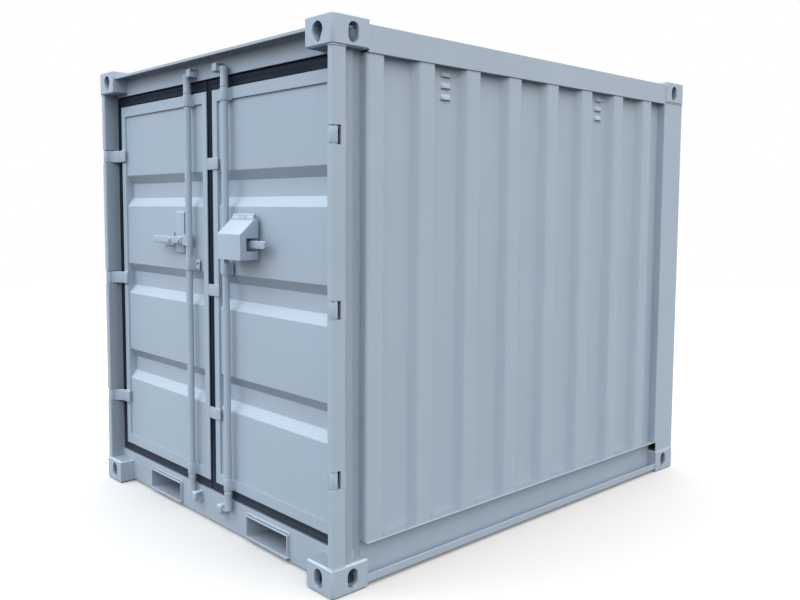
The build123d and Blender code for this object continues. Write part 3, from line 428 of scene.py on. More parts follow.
def painted_steel(name, colour, tone=1.0, grain=190.0, peel_height=0.0004, rough=0.42,
                  dents=0.0025, flat_top_shade=0.75, shade_and_stain_mask=None):
    """Alkyd topcoat sprayed on steel: a satin film with orange peel of a few millimetres, slow dents in
    the sheet and faint dust that has run down. Painted light makes it lighter on what faces up, and
    painted shade makes it darker on flat tops and darker still on undersides."""
    m, t, shader, where = material(name)
    shader.inputs["Specular IOR Level"].default_value = 0.35
    # Patches about 400 mm across, where the coat is a little thicker or thinner
    patch = add(t, "TexNoise", {"Vector": where}, Scale=2.5, Detail=3.0, Roughness=0.55)
    dark, light = ((*(min(c * tone * part, 1.0) for c in colour), 1) for part in (0.93, 1.05))
    coat = add(t, "Mix", {0: patch, 6: dark, 7: light}, data_type='RGBA')
    # Runs of dust 30 mm wide and about half a metre long, and spots of splashed dirt
    stretch = add(t, "Mapping", {"Vector": where}, Scale=(30.0, 30.0, 2.0))
    runs = add(t, "TexNoise", {"Vector": stretch}, Scale=1.0, Detail=4.0)
    spots = add(t, "TexNoise", {"Vector": where}, Scale=60.0, Detail=5.0, Roughness=0.7)
    height = add(t, "SeparateXYZ", {0: where}).outputs[2]
    facing = add(t, "SeparateXYZ", {0: add(t, "NewGeometry").outputs["Normal"]}).outputs[2]
    # Dust in the runs, dirt on the lowest 300 mm, then painted light on what faces up by more than 15
    # degrees, painted shade on what lies flat and dark painted shade on what faces down by more than 17
    last = dirt_and_painted_light(t, coat, ((runs, 0.5, 0.8, 0.16, None, "9DA3A6"),
                           (height, 0.32, 0.0, 0.15, spots, "8F9698"),
                           (facing, 0.25, 0.55, 0.5, None, "C6D4E0"),
                           (facing, 0.85, 0.98, flat_top_shade, None, "8C98A3"),
                           (facing, -0.30, -0.95, 0.7, None, "39424C")))
    # Painted shade in the castings' holes and the posts' recesses, and on the roof painted shade with
    # stains where water has stood, mixed in as a dark grey
    if shade_and_stain_mask:
        last = add(t, "Mix", {0: shade_and_stain_mask(t, where), 6: last, 7: (*linear("353D46"), 1)},
                   data_type='RGBA')
    t.links.new(shader.inputs["Base Color"], last.outputs[2])
    gloss = add(t, "MapRange", {0: patch}, From_Min=0.3, From_Max=0.7,
                To_Min=rough - 0.05, To_Max=rough + 0.08)
    t.links.new(shader.inputs["Roughness"], gloss.outputs[0])
    # Orange peel of about 5 mm, coarser than the real 2 mm so that it shows, and dents
    peel = add(t, "TexNoise", {"Vector": where}, Scale=grain, Detail=2.0)
    wave = add(t, "TexNoise", {"Vector": where}, Scale=4.0, Detail=1.0)
    fine = add(t, "Bump", {"Height": peel}, Strength=0.35, Distance=peel_height)
    slow = add(t, "Bump", {"Height": wave, "Normal": fine}, Strength=0.5, Distance=dents)
    t.links.new(shader.inputs["Normal"], slow.outputs[0])
    return m


def door_rubber(name, colour):
    """Extruded EPDM rubber: matt and near black, with a bloom of dust, which lies
    thicker near the ground, and a faint drag pattern of 3 mm across its skin."""
    m, t, shader, where = material(name)
    bloom = add(t, "TexNoise", {"Vector": where}, Scale=9.0, Detail=6.0, Roughness=0.65)
    height = add(t, "SeparateXYZ", {0: where}).outputs[2]
    dusty = dirt_and_painted_light(t, (*colour, 1), ((bloom, 0.45, 0.75, 0.22, None, "304052"),
                                    (height, 0.45, 0.15, 0.16, None, "6C7682")))
    t.links.new(shader.inputs["Base Color"], dusty.outputs[2])
    shader.inputs["Roughness"].default_value = 0.68
    shader.inputs["Specular IOR Level"].default_value = 0.15
    grain = add(t, "TexNoise", {"Vector": where}, Scale=330.0, Detail=2.0)
    bump = add(t, "Bump", {"Height": grain}, Strength=0.3, Distance=0.0004)
    t.links.new(shader.inputs["Normal"], bump.outputs[0])
    return m


def floor_ply(name, colour):
    """Sealed keruing plywood: long dark pores along the boards and a thin worn varnish."""
    m, t, shader, where = material(name)
    along = add(t, "Mapping", {"Vector": where}, Scale=(60.0, 2.2, 60.0))
    pores = add(t, "TexNoise", {"Vector": along}, Scale=1.6, Detail=8.0, Roughness=0.7,
                Distortion=0.4)
    flame = add(t, "TexNoise", {"Vector": along}, Scale=0.18, Detail=3.0, Distortion=1.5)
    ramp = add(t, "ValToRGB", {0: pores})
    for end, position, part in zip(ramp.color_ramp.elements, (0.36, 0.62), (0.42, 1.12)):
        end.position = position
        end.color = (*(min(c * part, 1) for c in colour), 1)
    tone = add(t, "Mix", {0: flame, 6: ramp, 7: (*(c * 0.66 for c in colour), 1)},
               data_type='RGBA')
    t.links.new(shader.inputs["Base Color"], tone.outputs[2])
    scuff = add(t, "TexNoise", {"Vector": where}, Scale=7.0, Detail=5.0)
    gloss = add(t, "MapRange", {0: scuff}, To_Min=0.38, To_Max=0.75)
    t.links.new(shader.inputs["Roughness"], gloss.outputs[0])
    bump = add(t, "Bump", {"Height": pores}, Strength=0.25, Distance=0.0008)
    t.links.new(shader.inputs["Normal"], bump.outputs[0])
    return m


def zinc_plate(name, colour):
    """Zinc plated steel screws, dulled, with blotches of white oxide."""
    m, t, shader, where = material(name)
    shader.inputs["Metallic"].default_value = 1.0
    spots = add(t, "TexNoise", {"Vector": where}, Scale=240.0, Detail=4.0)
    base = add(t, "Mix", {0: spots, 6: (*(c * 0.8 for c in colour), 1), 7: (*colour, 1)},
               data_type='RGBA')
    t.links.new(shader.inputs["Base Color"], base.outputs[2])
    gloss = add(t, "MapRange", {0: spots}, To_Min=0.3, To_Max=0.55)
    t.links.new(shader.inputs["Roughness"], gloss.outputs[0])
    return m


# How the paint differs from plate to plate
PAINTS = {
    PLATE: {},
    SHEET: dict(dents=0.0045),
    "alkyd_paint_on_castings": dict(tone=1.03, grain=120.0, peel_height=0.0011, rough=0.5,
                                    dents=0.002, shade_and_stain_mask=casting_hole_shade),
    "alkyd_paint_on_roof": dict(rough=0.5, dents=0.0045, shade_and_stain_mask=roof_shade_and_stains),
    "alkyd_paint_on_posts": dict(shade_and_stain_mask=post_recess_shade),
    GEAR: dict(tone=1.01, grain=200.0, peel_height=0.0006, rough=0.38, dents=0.001, flat_top_shade=0.0),
}


def finish(name):
    """The finish of that name, made once."""
    if name in bpy.data.materials:
        return bpy.data.materials[name]
    c = bpy.context.scene.container_colours
    if name in PAINTS:
        return painted_steel(name, tuple(c.paint), **PAINTS[name])
    maker, colour = {"epdm_rubber_extruded": (door_rubber, c.rubber),
                     "keruing_ply_sealed": (floor_ply, c.board),
                     "zinc_plated_steel": (zinc_plate, c.zinc)}[name]
    return maker(name, tuple(colour))


def dress(nodes, finish_name, round_by):
    """Gives CAD nodes their finish, and rounds their edges with modifiers."""
    for name in nodes:
        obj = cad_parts[name]
        obj.data.materials.clear()
        obj.data.materials.append(finish(finish_name))
        merge = obj.modifiers.new("merge", 'WELD')
        merge.merge_threshold = 0.00002
        join = obj.modifiers.new("join flats", 'DECIMATE')
        join.decimate_type = 'DISSOLVE'
        join.angle_limit = math.radians(0.6)
        soft = obj.modifiers.new("round edges", 'BEVEL')
        soft.width = round_by
        soft.segments = 2
        soft.limit_method = 'ANGLE'
        soft.angle_limit = math.radians(35)


def sizes():
    """The sizes that the panel shows."""
    return bpy.context.scene.container_sizes


def hinge_heights(side):
    """Heights of a leaf's three hinges, half a blade inside its lowest and highest."""
    lo, hi = low(side + "_hinge_blades"), high(side + "_hinge_blades")
    leaf = side + "_leaf_frame"
    half = BLADE_TALL / 2
    return lo[2] + half, (low(leaf)[2] + high(leaf)[2]) / 2, hi[2] - half


def bar_middle(side):
    """Middle of a lock bar."""
    return (low(side + "_bar") + high(side + "_bar")) / 2


def lever_height():
    """Height of the handles' middle, half a hub above the left handle's lowest point."""
    return low("left_handle")[2] + HUB_HALF


# Pieces

class CONTAINER_OT_steelwork(bpy.types.Operator):
    """Paints posts, rails, sill, header, base and castings, and rounds their edges"""
    bl_idname = "container.steelwork"
    bl_label = "Steelwork"

    def execute(self, context):
        e = sizes().edge_round
        dress(["rear_post_left", "rear_post_right", "door_header", "door_sill",
               "rear_bottom_rail", "rear_top_rail", "top_rail_left", "top_rail_right",
               "bottom_rail_left", "bottom_rail_right"], PLATE, e)
        dress(["fork_pocket_left", "fork_pocket_right"], PLATE, e * 1.6)
        dress(["cross_members"], PLATE, e * 0.5)
        dress([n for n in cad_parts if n.startswith("fitting_")],
              "alkyd_paint_on_castings", e * 2.0)
        return {'FINISHED'}


class CONTAINER_OT_front_posts(bpy.types.Operator):
    """Folds the front posts: a notched tube, a web that steps in, and the door stop"""
    bl_idname = "container.front_posts"
    bl_label = "Front posts"

    def execute(self, context):
        lo, hi = low("front_post_right"), high("front_post_right")
        near, deep = hi[0] - 0.0315, hi[0] - 0.0435
        web = [(near, lo[1] + 0.060), (near, lo[1] + 0.1185), (deep, lo[1] + 0.1245),
               (deep, hi[1])]
        stop = [(hi[0] - 0.045, hi[1] - 0.039), (lo[0] + 0.003, hi[1] - 0.039),
                (lo[0] + 0.003, hi[1])]
        for side, sign in SIDES:
            shell = Shell()
            self.tube(shell, sign, lo, hi, hinge_heights(side))
            for path, thick in ((web, 0.005), (stop, 0.006)):
                shell.bar(band(path, thick, 0.006) * (sign, 1), lo[2], hi[2], PLAN)
            node = "front_post_" + side
            shell.put("folded_" + node, "alkyd_paint_on_posts", "container", node)
        return {'FINISHED'}

    def tube(self, shell, sign, lo, hi, heights):
        """A tube 34 by 64 mm of 8 mm plate, ring by ring up its outside and down its
        inside. At each hinge only its back and the stumps of its two sides go on."""
        x0, x1, y0, y1 = hi[0] - POST_WIDE, hi[0], lo[1], lo[1] + POST_DEEP
        a0, a1, b0, b1 = x0 + POST_WALL, x1 - POST_WALL, y0 + POST_WALL, y1 - POST_WALL
        outer = rounded(rectangle(x0, x1, y0, y1), 0.007) * (sign, 1)
        inner = rounded(rectangle(a0, a1, b0, b1), 0.0005) * (sign, 1)
        stumps = np.array([(x0, y0 + 0.052), (a0, y0 + 0.052), (a0, b1), (a1, b1),
                           (a1, y0 + 0.040), (x1, y0 + 0.040), (x1, y1), (x0, y1)]) * (sign, 1)
        cuts = [lo[2]] + [z + h for z in heights for h in (-NOTCH_HALF, NOTCH_HALF)] + [hi[2]]
        for z0, z1 in zip(cuts[0::2], cuts[1::2]):
            shell.rings([place(outer, z0, PLAN), place(outer, z1, PLAN),
                         place(inner, z1, PLAN), place(inner, z0, PLAN)], loop=True)
        for z in heights:
            shell.bar(stumps, z - NOTCH_HALF, z + NOTCH_HALF, PLAN)


class CONTAINER_OT_leaves(bpy.types.Operator):
    """Paints the leaf frames and presses the banded leaf panels"""
    bl_idname = "container.leaves"
    bl_label = "Leaves"

    def execute(self, context):
        dress(["left_leaf_frame", "right_leaf_frame"], PLATE, sizes().edge_round)
        thick, pitch, outer, inner = 0.003, 0.465, 0.0815, 0.0375
        for side, _ in SIDES:
            node = side + "_leaf_panel"
            lo, hi = low(node), high(node)
            # The panel's profile lies flat, and slopes in and out again at its three bands
            face, deep = lo[1], lo[1] + 0.030
            line = [(face, lo[2])]
            for i in (-1, 0, 1):
                z = (lo[2] + hi[2]) / 2 + pitch * i
                line += [(face, z - outer), (deep, z - inner), (deep, z + inner),
                         (face, z + outer)]
            line = np.array(line + [(face, hi[2])]) + (thick / 2, 0)
            shell = Shell()
            shell.bar(band(line, thick, 0.007), lo[0], hi[0], SIDE_VIEW)
            shell.put("pressed_panel_" + side, SHEET, side + "_door", node)
        return {'FINISHED'}


class CONTAINER_OT_side_walls(bpy.types.Operator):
    """Folds the side walls with rounded folds and pressed hoods"""
    bl_idname = "container.side_walls"
    bl_label = "Side walls"

    def execute(self, context):
        size = sizes()
        out = HALF - 0.009
        inn = out - FOLD_DEEP
        vented, rows, first, step = (1, 5), 3, 0.038, 0.047
        for side, sign in SIDES:
            node = "side_wall_" + side
            lo, hi = low(node), high(node)
            # At each pitch the sheet's plan has an outer flat and a groove with sloping sides
            line = [(inn, lo[1]), (out, lo[1])]
            end = lo[1] + 0.084
            grooves = []
            while end + FOLD_RUN < hi[1]:
                if grooves:
                    line += [(inn, end - FOLD_FLAT - FOLD_RUN), (out, end - FOLD_FLAT)]
                line += [(out, end), (inn, end + FOLD_RUN)]
                grooves.append(end + (FOLD_PITCH - FOLD_FLAT) / 2)
                end += FOLD_PITCH
            line.append((inn, hi[1]))
            outline = band(np.array(line) - (size.sheet / 2, 0), size.sheet, size.fold_radius)
            outline[:, 1] = np.clip(outline[:, 1], lo[1], hi[1])
            shell = Shell()
            shell.bar(outline * (sign, 1), lo[2], hi[2], PLAN)
            for g in vented:
                for k in range(rows):
                    self.hood(shell, sign, inn, grooves[g], hi[2] - first - step * k)
            shell.put("folded_side_wall_" + side, SHEET, "container", node)
        return {'FINISHED'}

    def hood(self, shell, sign, face, y, z):
        """A pressed hood, 62 by 24 mm: with u across and v from top to mouth, it stands
        out by 11 mm sin(90 v)(1 - |2u - 1|^5), and its inner skin is 1.5 mm behind."""
        u, v = np.linspace(0, 1, 21)[:, None], np.linspace(0, 1, 9)[None]
        rise = 0.011 * np.sin(v * math.pi / 2) * (1 - np.abs(2 * u - 1) ** 5)
        outer = np.stack(np.broadcast_arrays(face - 0.0005 + rise, y + (u - 0.5) * 0.062,
                                             z + 0.024 * (1 - v)), -1)
        inner = outer[:, ::-1] - (0.0015, 0, 0)
        shell.rings(np.concatenate([outer, inner], axis=1) * (sign, 1, 1))


class CONTAINER_OT_end_wall_and_roof(bpy.types.Operator):
    """Folds the back wall, and paints the roof sheet and rounds its edges"""
    bl_idname = "container.end_wall_and_roof"
    bl_label = "End wall and roof"

    def execute(self, context):
        size = sizes()
        dress(["roof"], "alkyd_paint_on_roof", size.edge_round * 0.4)
        lo, hi = low("rear_wall"), high("rear_wall")
        outer, inner = hi[1], hi[1] - FOLD_DEEP
        half = FOLD_FLAT / 2
        # The sheet's plan has folds with sloping sides, spaced evenly about its middle
        line = [(lo[0], inner)]
        count = int((hi[0] - lo[0]) // FOLD_PITCH)
        for i in range(count):
            m = FOLD_PITCH * (i - (count - 1) / 2)
            line += [(m - half - FOLD_RUN, inner), (m - half, outer), (m + half, outer),
                     (m + half + FOLD_RUN, inner)]
        line = np.array(line + [(hi[0], inner)]) - (0, size.sheet / 2)
        shell = Shell()
        shell.bar(band(line, size.sheet, size.fold_radius), lo[2], hi[2], PLAN)
        shell.put("folded_end_wall", SHEET, "container", "rear_wall")
        return {'FINISHED'}


class CONTAINER_OT_rubbers(bpy.types.Operator):
    """Runs the extruded rubber round each leaf"""
    bl_idname = "container.rubbers"
    bl_label = "Door rubbers"

    def execute(self, context):
        # Across the gap t runs from the leaf to the free edge, d is the depth
        t = np.array([0, 0, .10, .16, .24, .34, .42, .50, .58, .66, .76, .84, .90, 1, 1,
                      .5, 0])
        d = np.array([12, 6, 3.5, 2.4, 2.2, 4.5, 6.8, 7.4, 6.8, 4.0, 1.4, .6, 3, 9, 42, 42,
                      42]) / 1000
        for side, _ in SIDES:
            leaf, node = side + "_leaf_frame", side + "_gasket"
            llo, lhi, glo, ghi = low(leaf), high(leaf), low(node), high(node)
            left, right, under, over = (
                a[i] + t * (b[i] - a[i])
                for a, b, i in ((llo, glo, 0), (lhi, ghi, 0), (llo, glo, 2), (lhi, ghi, 2)))
            # The right leaf's rubber is a ring, and the left one's is open at the seam
            whole = side == "right"
            near, far = (left, right) if whole else (np.full_like(t, lhi[0]), left)
            rings = ((near, over), (far, over), (far, under), (near, under))
            shell = Shell()
            shell.rings([np.stack([x, glo[1] + d, z], 1) for x, z in rings], loop=whole)
            if not whole:
                # The thin lip down this leaf's edge at the seam
                shell.box((lhi[0] - 0.001, lhi[0] + 0.004), (glo[1] + 0.002, glo[1] + 0.042),
                          (glo[2] + 0.004, ghi[2] - 0.004), 0.0015)
            shell.put("rubber_" + side, "epdm_rubber_extruded", side + "_door", node, 50)
        return {'FINISHED'}


class CONTAINER_OT_lock_bars(bpy.types.Operator):
    """Turns the lock bars with their heads, rings and caps"""
    bl_idname = "container.lock_bars"
    bl_label = "Lock bars"

    def execute(self, context):
        for side, _ in SIDES:
            node, gear = side + "_bar", side + "_leaf_gear"
            lo, hi = low(node), high(node)
            x, y, _ = bar_middle(side)
            cap = (hi[0] - lo[0]) / 2
            r, head = cap - 0.002, cap - 0.0005
            # Each end as (radius, height): its cap from the tip, its ring from the guide
            tip = [(cap - .003, 0), (cap, .003), (cap, .007), (head, .009)]
            ring = [(head, -.012), (cap, -.010), (cap, -.003), (cap - .001, 0), (r, .001)]
            ends = [[(a, z + up * b) for z, part in ((end, tip), (guide, ring)) for a, b in part]
                    for end, guide, up in ((lo[2], low(gear)[2] - 0.005, 1),
                                           (hi[2], high(gear)[2] + 0.005, -1))]
            shell = Shell()
            shell.turned(ends[0] + ends[1][::-1], (x, y, 0))
            shell.put("bar_" + side, GEAR, node, node)
        return {'FINISHED'}


class CONTAINER_OT_leaf_gear(bpy.types.Operator):
    """Bends the guides over the bars and fixes the plates of each leaf"""
    bl_idname = "container.leaf_gear"
    bl_label = "Leaf gear"

    def execute(self, context):
        z = lever_height()
        for side, sign in SIDES:
            node = side + "_leaf_gear"
            lo, hi = low(node), high(node)
            x, y, _ = bar_middle(side)
            shell = Shell()
            for z0 in (lo[2], hi[2] - GUIDE_TALL):
                self.strap(shell, x, y, z0, FACE)
            # The middle guide stands on a plate that is bolted on beside it
            z0, seat = z - 0.142, FACE - 0.003
            self.strap(shell, x, y, z0, seat)
            shell.box((x - sign * 0.059, x + sign * 0.025), (seat, FACE),
                      (z0, z0 + GUIDE_TALL), 0.0008, 0.004, FRONT_VIEW)
            for up in (0.013, 0.041):
                shell.bolt((x - sign * 0.043, seat, z0 + up), 0.013, 0.006)
            if side == "right":
                self.seam_plates(shell, lo[0])
            else:
                self.tray_and_catch(shell, x, z)
            shell.put("leaf_gear_" + side, GEAR, side + "_door", node)
        return {'FINISHED'}

    def strap(self, shell, x, y, z0, seat):
        """A guide 54 mm tall: feet flat on the seat, two legs, and over the bar a half
        circle, where at the angle t the point is (x - r cos t, y - r sin t)."""
        r, thick = 0.01825, 0.0035
        t = np.linspace(0, math.pi, 17)
        arc = np.stack([x - r * np.cos(t), y - r * np.sin(t)], 1)
        foot = seat - thick / 2
        path = np.concatenate([[(x - 0.025, foot), (x - r, foot)], arc,
                               [(x + r, foot), (x + 0.025, foot)]])
        radii = np.zeros(len(path))
        radii[[1, -2]] = 0.003
        shell.swept(rounded(path, radii, 4, closed=False), flat(thick, GUIDE_TALL, 0.001),
                    z0 + GUIDE_TALL / 2, PLAN)
        for side in (-1, 1):
            edge = x + side * 0.0255
            shell.weld([(edge, seat - 0.0008, z0 + 0.004), (edge, seat - 0.0008, z0 + 0.050)],
                       0.002, seed=int(z0 * 1000) + side)

    def seam_plates(self, shell, x):
        """Three plates 93 by 54 mm that hang over the seam."""
        mid = (low("right_leaf_frame")[2] + high("right_leaf_frame")[2]) / 2
        for step in (-0.576, 0.0, 0.578):
            shell.box((x, x + 0.093), (FACE - 0.006, FACE),
                      (mid + step - 0.027, mid + step + 0.027), 0.0018, 0.008, FRONT_VIEW)

    def tray_and_catch(self, shell, x, z):
        """The tray with folded lips behind the left lever, and the bent catch beside it."""
        panel = low("left_leaf_panel")[1]
        front, top, bottom = panel - 0.012, z + 0.134, z - 0.063
        tray = band([(panel, top), (front, top), (front, bottom), (panel, bottom)], 0.004, 0.005)
        shell.bar(tray, x - 0.166, x - 0.079, SIDE_VIEW, 0.0006, 2)
        catch = rounded([(panel - 0.003, z + 0.034), (panel - 0.003, z - 0.031),
                         (panel - 0.054, z - 0.031)], 0.007, closed=False)
        shell.swept(catch, flat(0.006, 0.026, 0.0012), x - 0.209, SIDE_VIEW)


class CONTAINER_OT_handles(bpy.types.Operator):
    """Casts the hubs on the bars, with levers, rivets and the lock box's hinge plate"""
    bl_idname = "container.handles"
    bl_label = "Handles"

    def execute(self, context):
        z = lever_height()
        hub_reach, hub_half, r = 0.088, 0.012, 0.020
        lever_reach, lever_half, lever_front, lever_back = 0.330, 0.017, 0.018, 0.006
        collar = mirrored([(0.0162, -HUB_HALF), (0.0170, -HUB_HALF), (0.0175, -0.0274)])
        rivet = [(0.0068, -0.010), (0.0068, -0.0200), (0.0100, -0.0202), (0.0102, -0.0214),
                 (0.0088, -0.0230), (0.0055, -0.0239), (0.0008, -0.0240)]
        for side, sign in SIDES:
            x, y, _ = bar_middle(side)
            shell = Shell()
            # The hub narrows from the bar to a nose, whose points lie r cos t out and
            # r sin t up from its middle
            end = x + sign * hub_reach
            nose = end - sign * 0.017
            t = np.radians(np.linspace(84, -84, 17))
            round_end = np.stack([nose + sign * r * np.cos(t), z + r * np.sin(t)], 1)
            hub = np.concatenate([[(x, z - HUB_HALF), (x, z + HUB_HALF)], round_end])
            shell.bar(hub, y - hub_half, y + hub_half, FRONT_VIEW, 0.004, 4)
            shell.turned(collar, (x, y, z), loop=True)
            shell.box((end - sign * 0.040, x + sign * lever_reach),
                      (y - lever_front, y - lever_back),
                      (z - lever_half, z + lever_half), 0.003, 0.0085, FRONT_VIEW)
            shell.turned(rivet, (nose, y, z), 1, 32)
            if side == "right":
                self.hinge_plate(shell, y, z)
            else:
                shell.bolt((x - 0.160, y - lever_front, z), 0.016, 0.007)
            shell.put("handle_" + side, GEAR, side + "_bar", side + "_handle")
        return {'FINISHED'}

    def hinge_plate(self, shell, y, z):
        """The plate behind the lock box, its neck to the lever, and the middle of the
        roll that the box turns on."""
        lo, hi = low("lock_box"), high("lock_box")
        mid = (lo[0] + hi[0]) / 2
        back = FACE - 0.007
        # The plate, its tab behind the roll, its neck and the web up to the roll
        for half, front, rear, z0, z1, edge, corner, axes in (
                ((hi[0] - lo[0]) / 2 - 0.009, back - 0.005, back, z - 0.051, ROLL_Z - 0.007,
                 0.0012, 0.006, FRONT_VIEW),
                (0.050, back - 0.002, back, ROLL_Z - 0.009, ROLL_Z + 0.011,
                 0.0006, 0.003, FRONT_VIEW),
                (0.017, y - 0.012, back - 0.004, z - 0.016, z + 0.016, 0.002, 0.004, FRONT_VIEW),
                (0.028, ROLL_Y, back, ROLL_Z - ROLL_RADIUS, ROLL_Z, 0.0008, 0.001, SIDE_VIEW)):
            shell.box((mid - half, mid + half), (front, rear), (z0, z1), edge, corner, axes)
        for half, r in ((0.028, ROLL_RADIUS), (0.083, 0.003)):
            shell.turned(mirrored([(r - 0.0008, -half), (r, -half + 0.0008)]),
                         (mid, ROLL_Y, ROLL_Z), 0, 32)


class CONTAINER_OT_lock_box(bpy.types.Operator):
    """Folds the lock box and rolls the hinge along its top edge"""
    bl_idname = "container.lock_box"
    bl_label = "Lock box"

    def execute(self, context):
        lo, hi = low("lock_box"), high("lock_box")
        z = lever_height()
        front, back = lo[1], hi[1]
        bottom, shoulder, top = z - 0.066, z + 0.044, z + 0.109
        slope = back - 0.018
        mid = (lo[0] + hi[0]) / 2
        shell = Shell()
        # The folded cover: front, slope and top in one sheet
        cover = rounded([(front + 0.002, bottom), (front + 0.002, shoulder - 0.001),
                         (slope, top - 0.002), (slope + 0.005, top - 0.002)],
                        0.008, 6, closed=False)
        shell.swept(cover, flat(BOX_SHEET, 0.184, 0.0012), mid, SIDE_VIEW)
        # The two cheeks, each with its notch for the lever or the hub
        for x0, cut, under, over in ((lo[0], FACE - 0.046, 0.035, 0.033),
                                     (hi[0] - BOX_SHEET, front + 0.030, 0.029, 0.026)):
            cheek = [(front + 0.001, bottom), (front + 0.001, shoulder - 0.002),
                     (slope, top - 0.003), (back - 0.005, top - 0.001), (back, top - 0.006),
                     (back, z + over), (cut, z + over), (cut, z - under),
                     (back, z - under), (back, bottom)]
            shell.bar(rounded(cheek, 0.003, 4), x0, x0 + BOX_SHEET, SIDE_VIEW, 0.0008, 2)
        # The roll and its leaf on both sides of the hinge plate's middle
        for x0, x1 in ((lo[0] + 0.009, mid - 0.029), (mid + 0.029, hi[0] - 0.009)):
            half = (x1 - x0) / 2
            tube = [(0.0034, -half), (0.0062, -half), (ROLL_RADIUS, -half + 0.0008)]
            shell.turned(mirrored(tube), ((x0 + x1) / 2, ROLL_Y, ROLL_Z), 0, 32, loop=True)
            leaf = [(slope - 0.008, top - 0.005), (slope + 0.005, top - 0.005),
                    (ROLL_Y + 0.002, ROLL_Z - 0.003), (ROLL_Y - 0.006, ROLL_Z)]
            shell.bar(rounded(leaf, 0.001, 2), x0, x1, SIDE_VIEW, 0.0006, 2)
        # The upstand between them, in front of the plate's roll
        upstand = [(slope - 0.008, top - 0.005), (slope, top - 0.005),
                   (slope - 0.002, top + 0.0105), (slope - 0.004, top + 0.0105)]
        shell.bar(rounded(upstand, 0.0006, 2), mid - 0.030, mid + 0.030, SIDE_VIEW)
        # The lug under the left cheek
        lug = rounded([(front + 0.031, bottom + 0.004), (front + 0.031, bottom - 0.024),
                       (front + 0.047, bottom - 0.024), (front + 0.047, bottom + 0.004)],
                      (0.001, 0.006, 0.006, 0.001))
        shell.bar(lug, lo[0], lo[0] + BOX_SHEET, SIDE_VIEW, 0.0008, 2)
        shell.put("box_over_lever", GEAR, "lock_box", "lock_box")
        return {'FINISHED'}


class CONTAINER_OT_keepers(bpy.types.Operator):
    """Bends the keepers on the header and the sill and welds them on"""
    bl_idname = "container.keepers"
    bl_label = "Keepers"

    def execute(self, context):
        lo, hi = low("bar_keepers"), high("bar_keepers")
        shell = Shell()
        wide, thick = 0.036, 0.006
        mid, half = hi[0] - wide / 2, thick / 2
        # Each keeper is a flat bar carried round a rectangle with rounded corners
        for sign in (-1, 1):
            for z0, z1 in ((lo[2], lo[2] + 0.044), (hi[2] - 0.040, hi[2])):
                hoop = rounded(rectangle(lo[1] + half, FACE - half, z0 + half, z1 - half), 0.005)
                shell.swept(hoop, flat(thick, wide, 0.0014), sign * mid, SIDE_VIEW, loop=True)
                for z in (z0 - 0.0005, z1 + 0.0005):
                    shell.weld([(sign * mid - 0.017, FACE - 0.001, z),
                                (sign * mid + 0.017, FACE - 0.001, z)], 0.0028,
                               seed=int(z * 1000) + sign)
        shell.put("keeper_hoops", GEAR, "container", "bar_keepers")
        return {'FINISHED'}


class CONTAINER_OT_hinges(bpy.types.Operator):
    """Forges the hinge blades with their knuckles, and turns the pins and collars"""
    bl_idname = "container.hinges"
    bl_label = "Hinges"

    def execute(self, context):
        pins = Shell()
        for side, sign in SIDES:
            blades = Shell()
            for z in hinge_heights(side):
                self.blade(blades, sign, z)
                self.pin(pins, sign, z)
            blades.put("hinge_blades_" + side, GEAR, side + "_door", side + "_hinge_blades")
        pins.put("hinge_pins_and_collars", GEAR, "container", "hinge_pins")
        return {'FINISHED'}

    def blade(self, shell, sign, z):
        """A flat blade 12 by 62 mm that bends from the leaf to the knuckle; over its last
        7 mm the section shrinks to a rounded end."""
        edge = high("right_leaf_frame")[0]
        reach = 0.026 if sign > 0 else 0.050
        end, y = edge - reach, FACE - BLADE_THICK / 2
        bend = rounded([(end + 0.012, y), (PIN_X - 0.056, y), (PIN_X - 0.016, PIN_Y + 0.025),
                        (PIN_X - 0.006, PIN_Y + 0.003)], 0.012, 6, closed=False)
        tip = [(end + step, y) for step in (0, 0.0012, 0.0034, 0.0068)]
        path = np.concatenate([tip, bend]) * (sign, 1)
        scale = np.ones((len(path), 2))
        scale[:4] = [(0.50, 0.86), (0.78, 0.93), (0.94, 0.97), (1.0, 0.99)]
        shell.swept(path, flat(BLADE_THICK, BLADE_TALL, 0.0035), z, PLAN, scale=scale)
        knuckle = [(0.0075, -0.031), (0.0140, -0.031), (0.0155, -0.0304), (0.0160, -0.0290)]
        shell.turned(mirrored(knuckle), (sign * PIN_X, PIN_Y, z), loop=True)
        for h in (-0.0315, 0.0315):
            shell.weld([(sign * (edge - 0.002), FACE - 0.001, z + h),
                        (sign * (end + 0.006), FACE - 0.001, z + h)], 0.003,
                       seed=int((z + h) * 1000))

    def pin(self, shell, sign, z):
        """A pin 14 mm thick with a collar at each lug, and the two lugs in the post."""
        half = [(0.0062, -0.044), (0.0070, -0.0432), (0.0070, -0.0360), (0.0134, -0.0360),
                (0.0140, -0.0354), (0.0140, -0.0321), (0.0134, -0.0315), (0.0070, -0.0315)]
        shell.turned(mirrored(half), (sign * PIN_X, PIN_Y, z), around=32)
        for z0 in (z - NOTCH_HALF - LUG_TALL, z + NOTCH_HALF):
            shell.box((sign * (HALF - 0.030), sign * (HALF - 0.012)),
                      (FRONT + 0.014, FRONT + 0.062), (z0, z0 + LUG_TALL), 0.0008, 0.001)


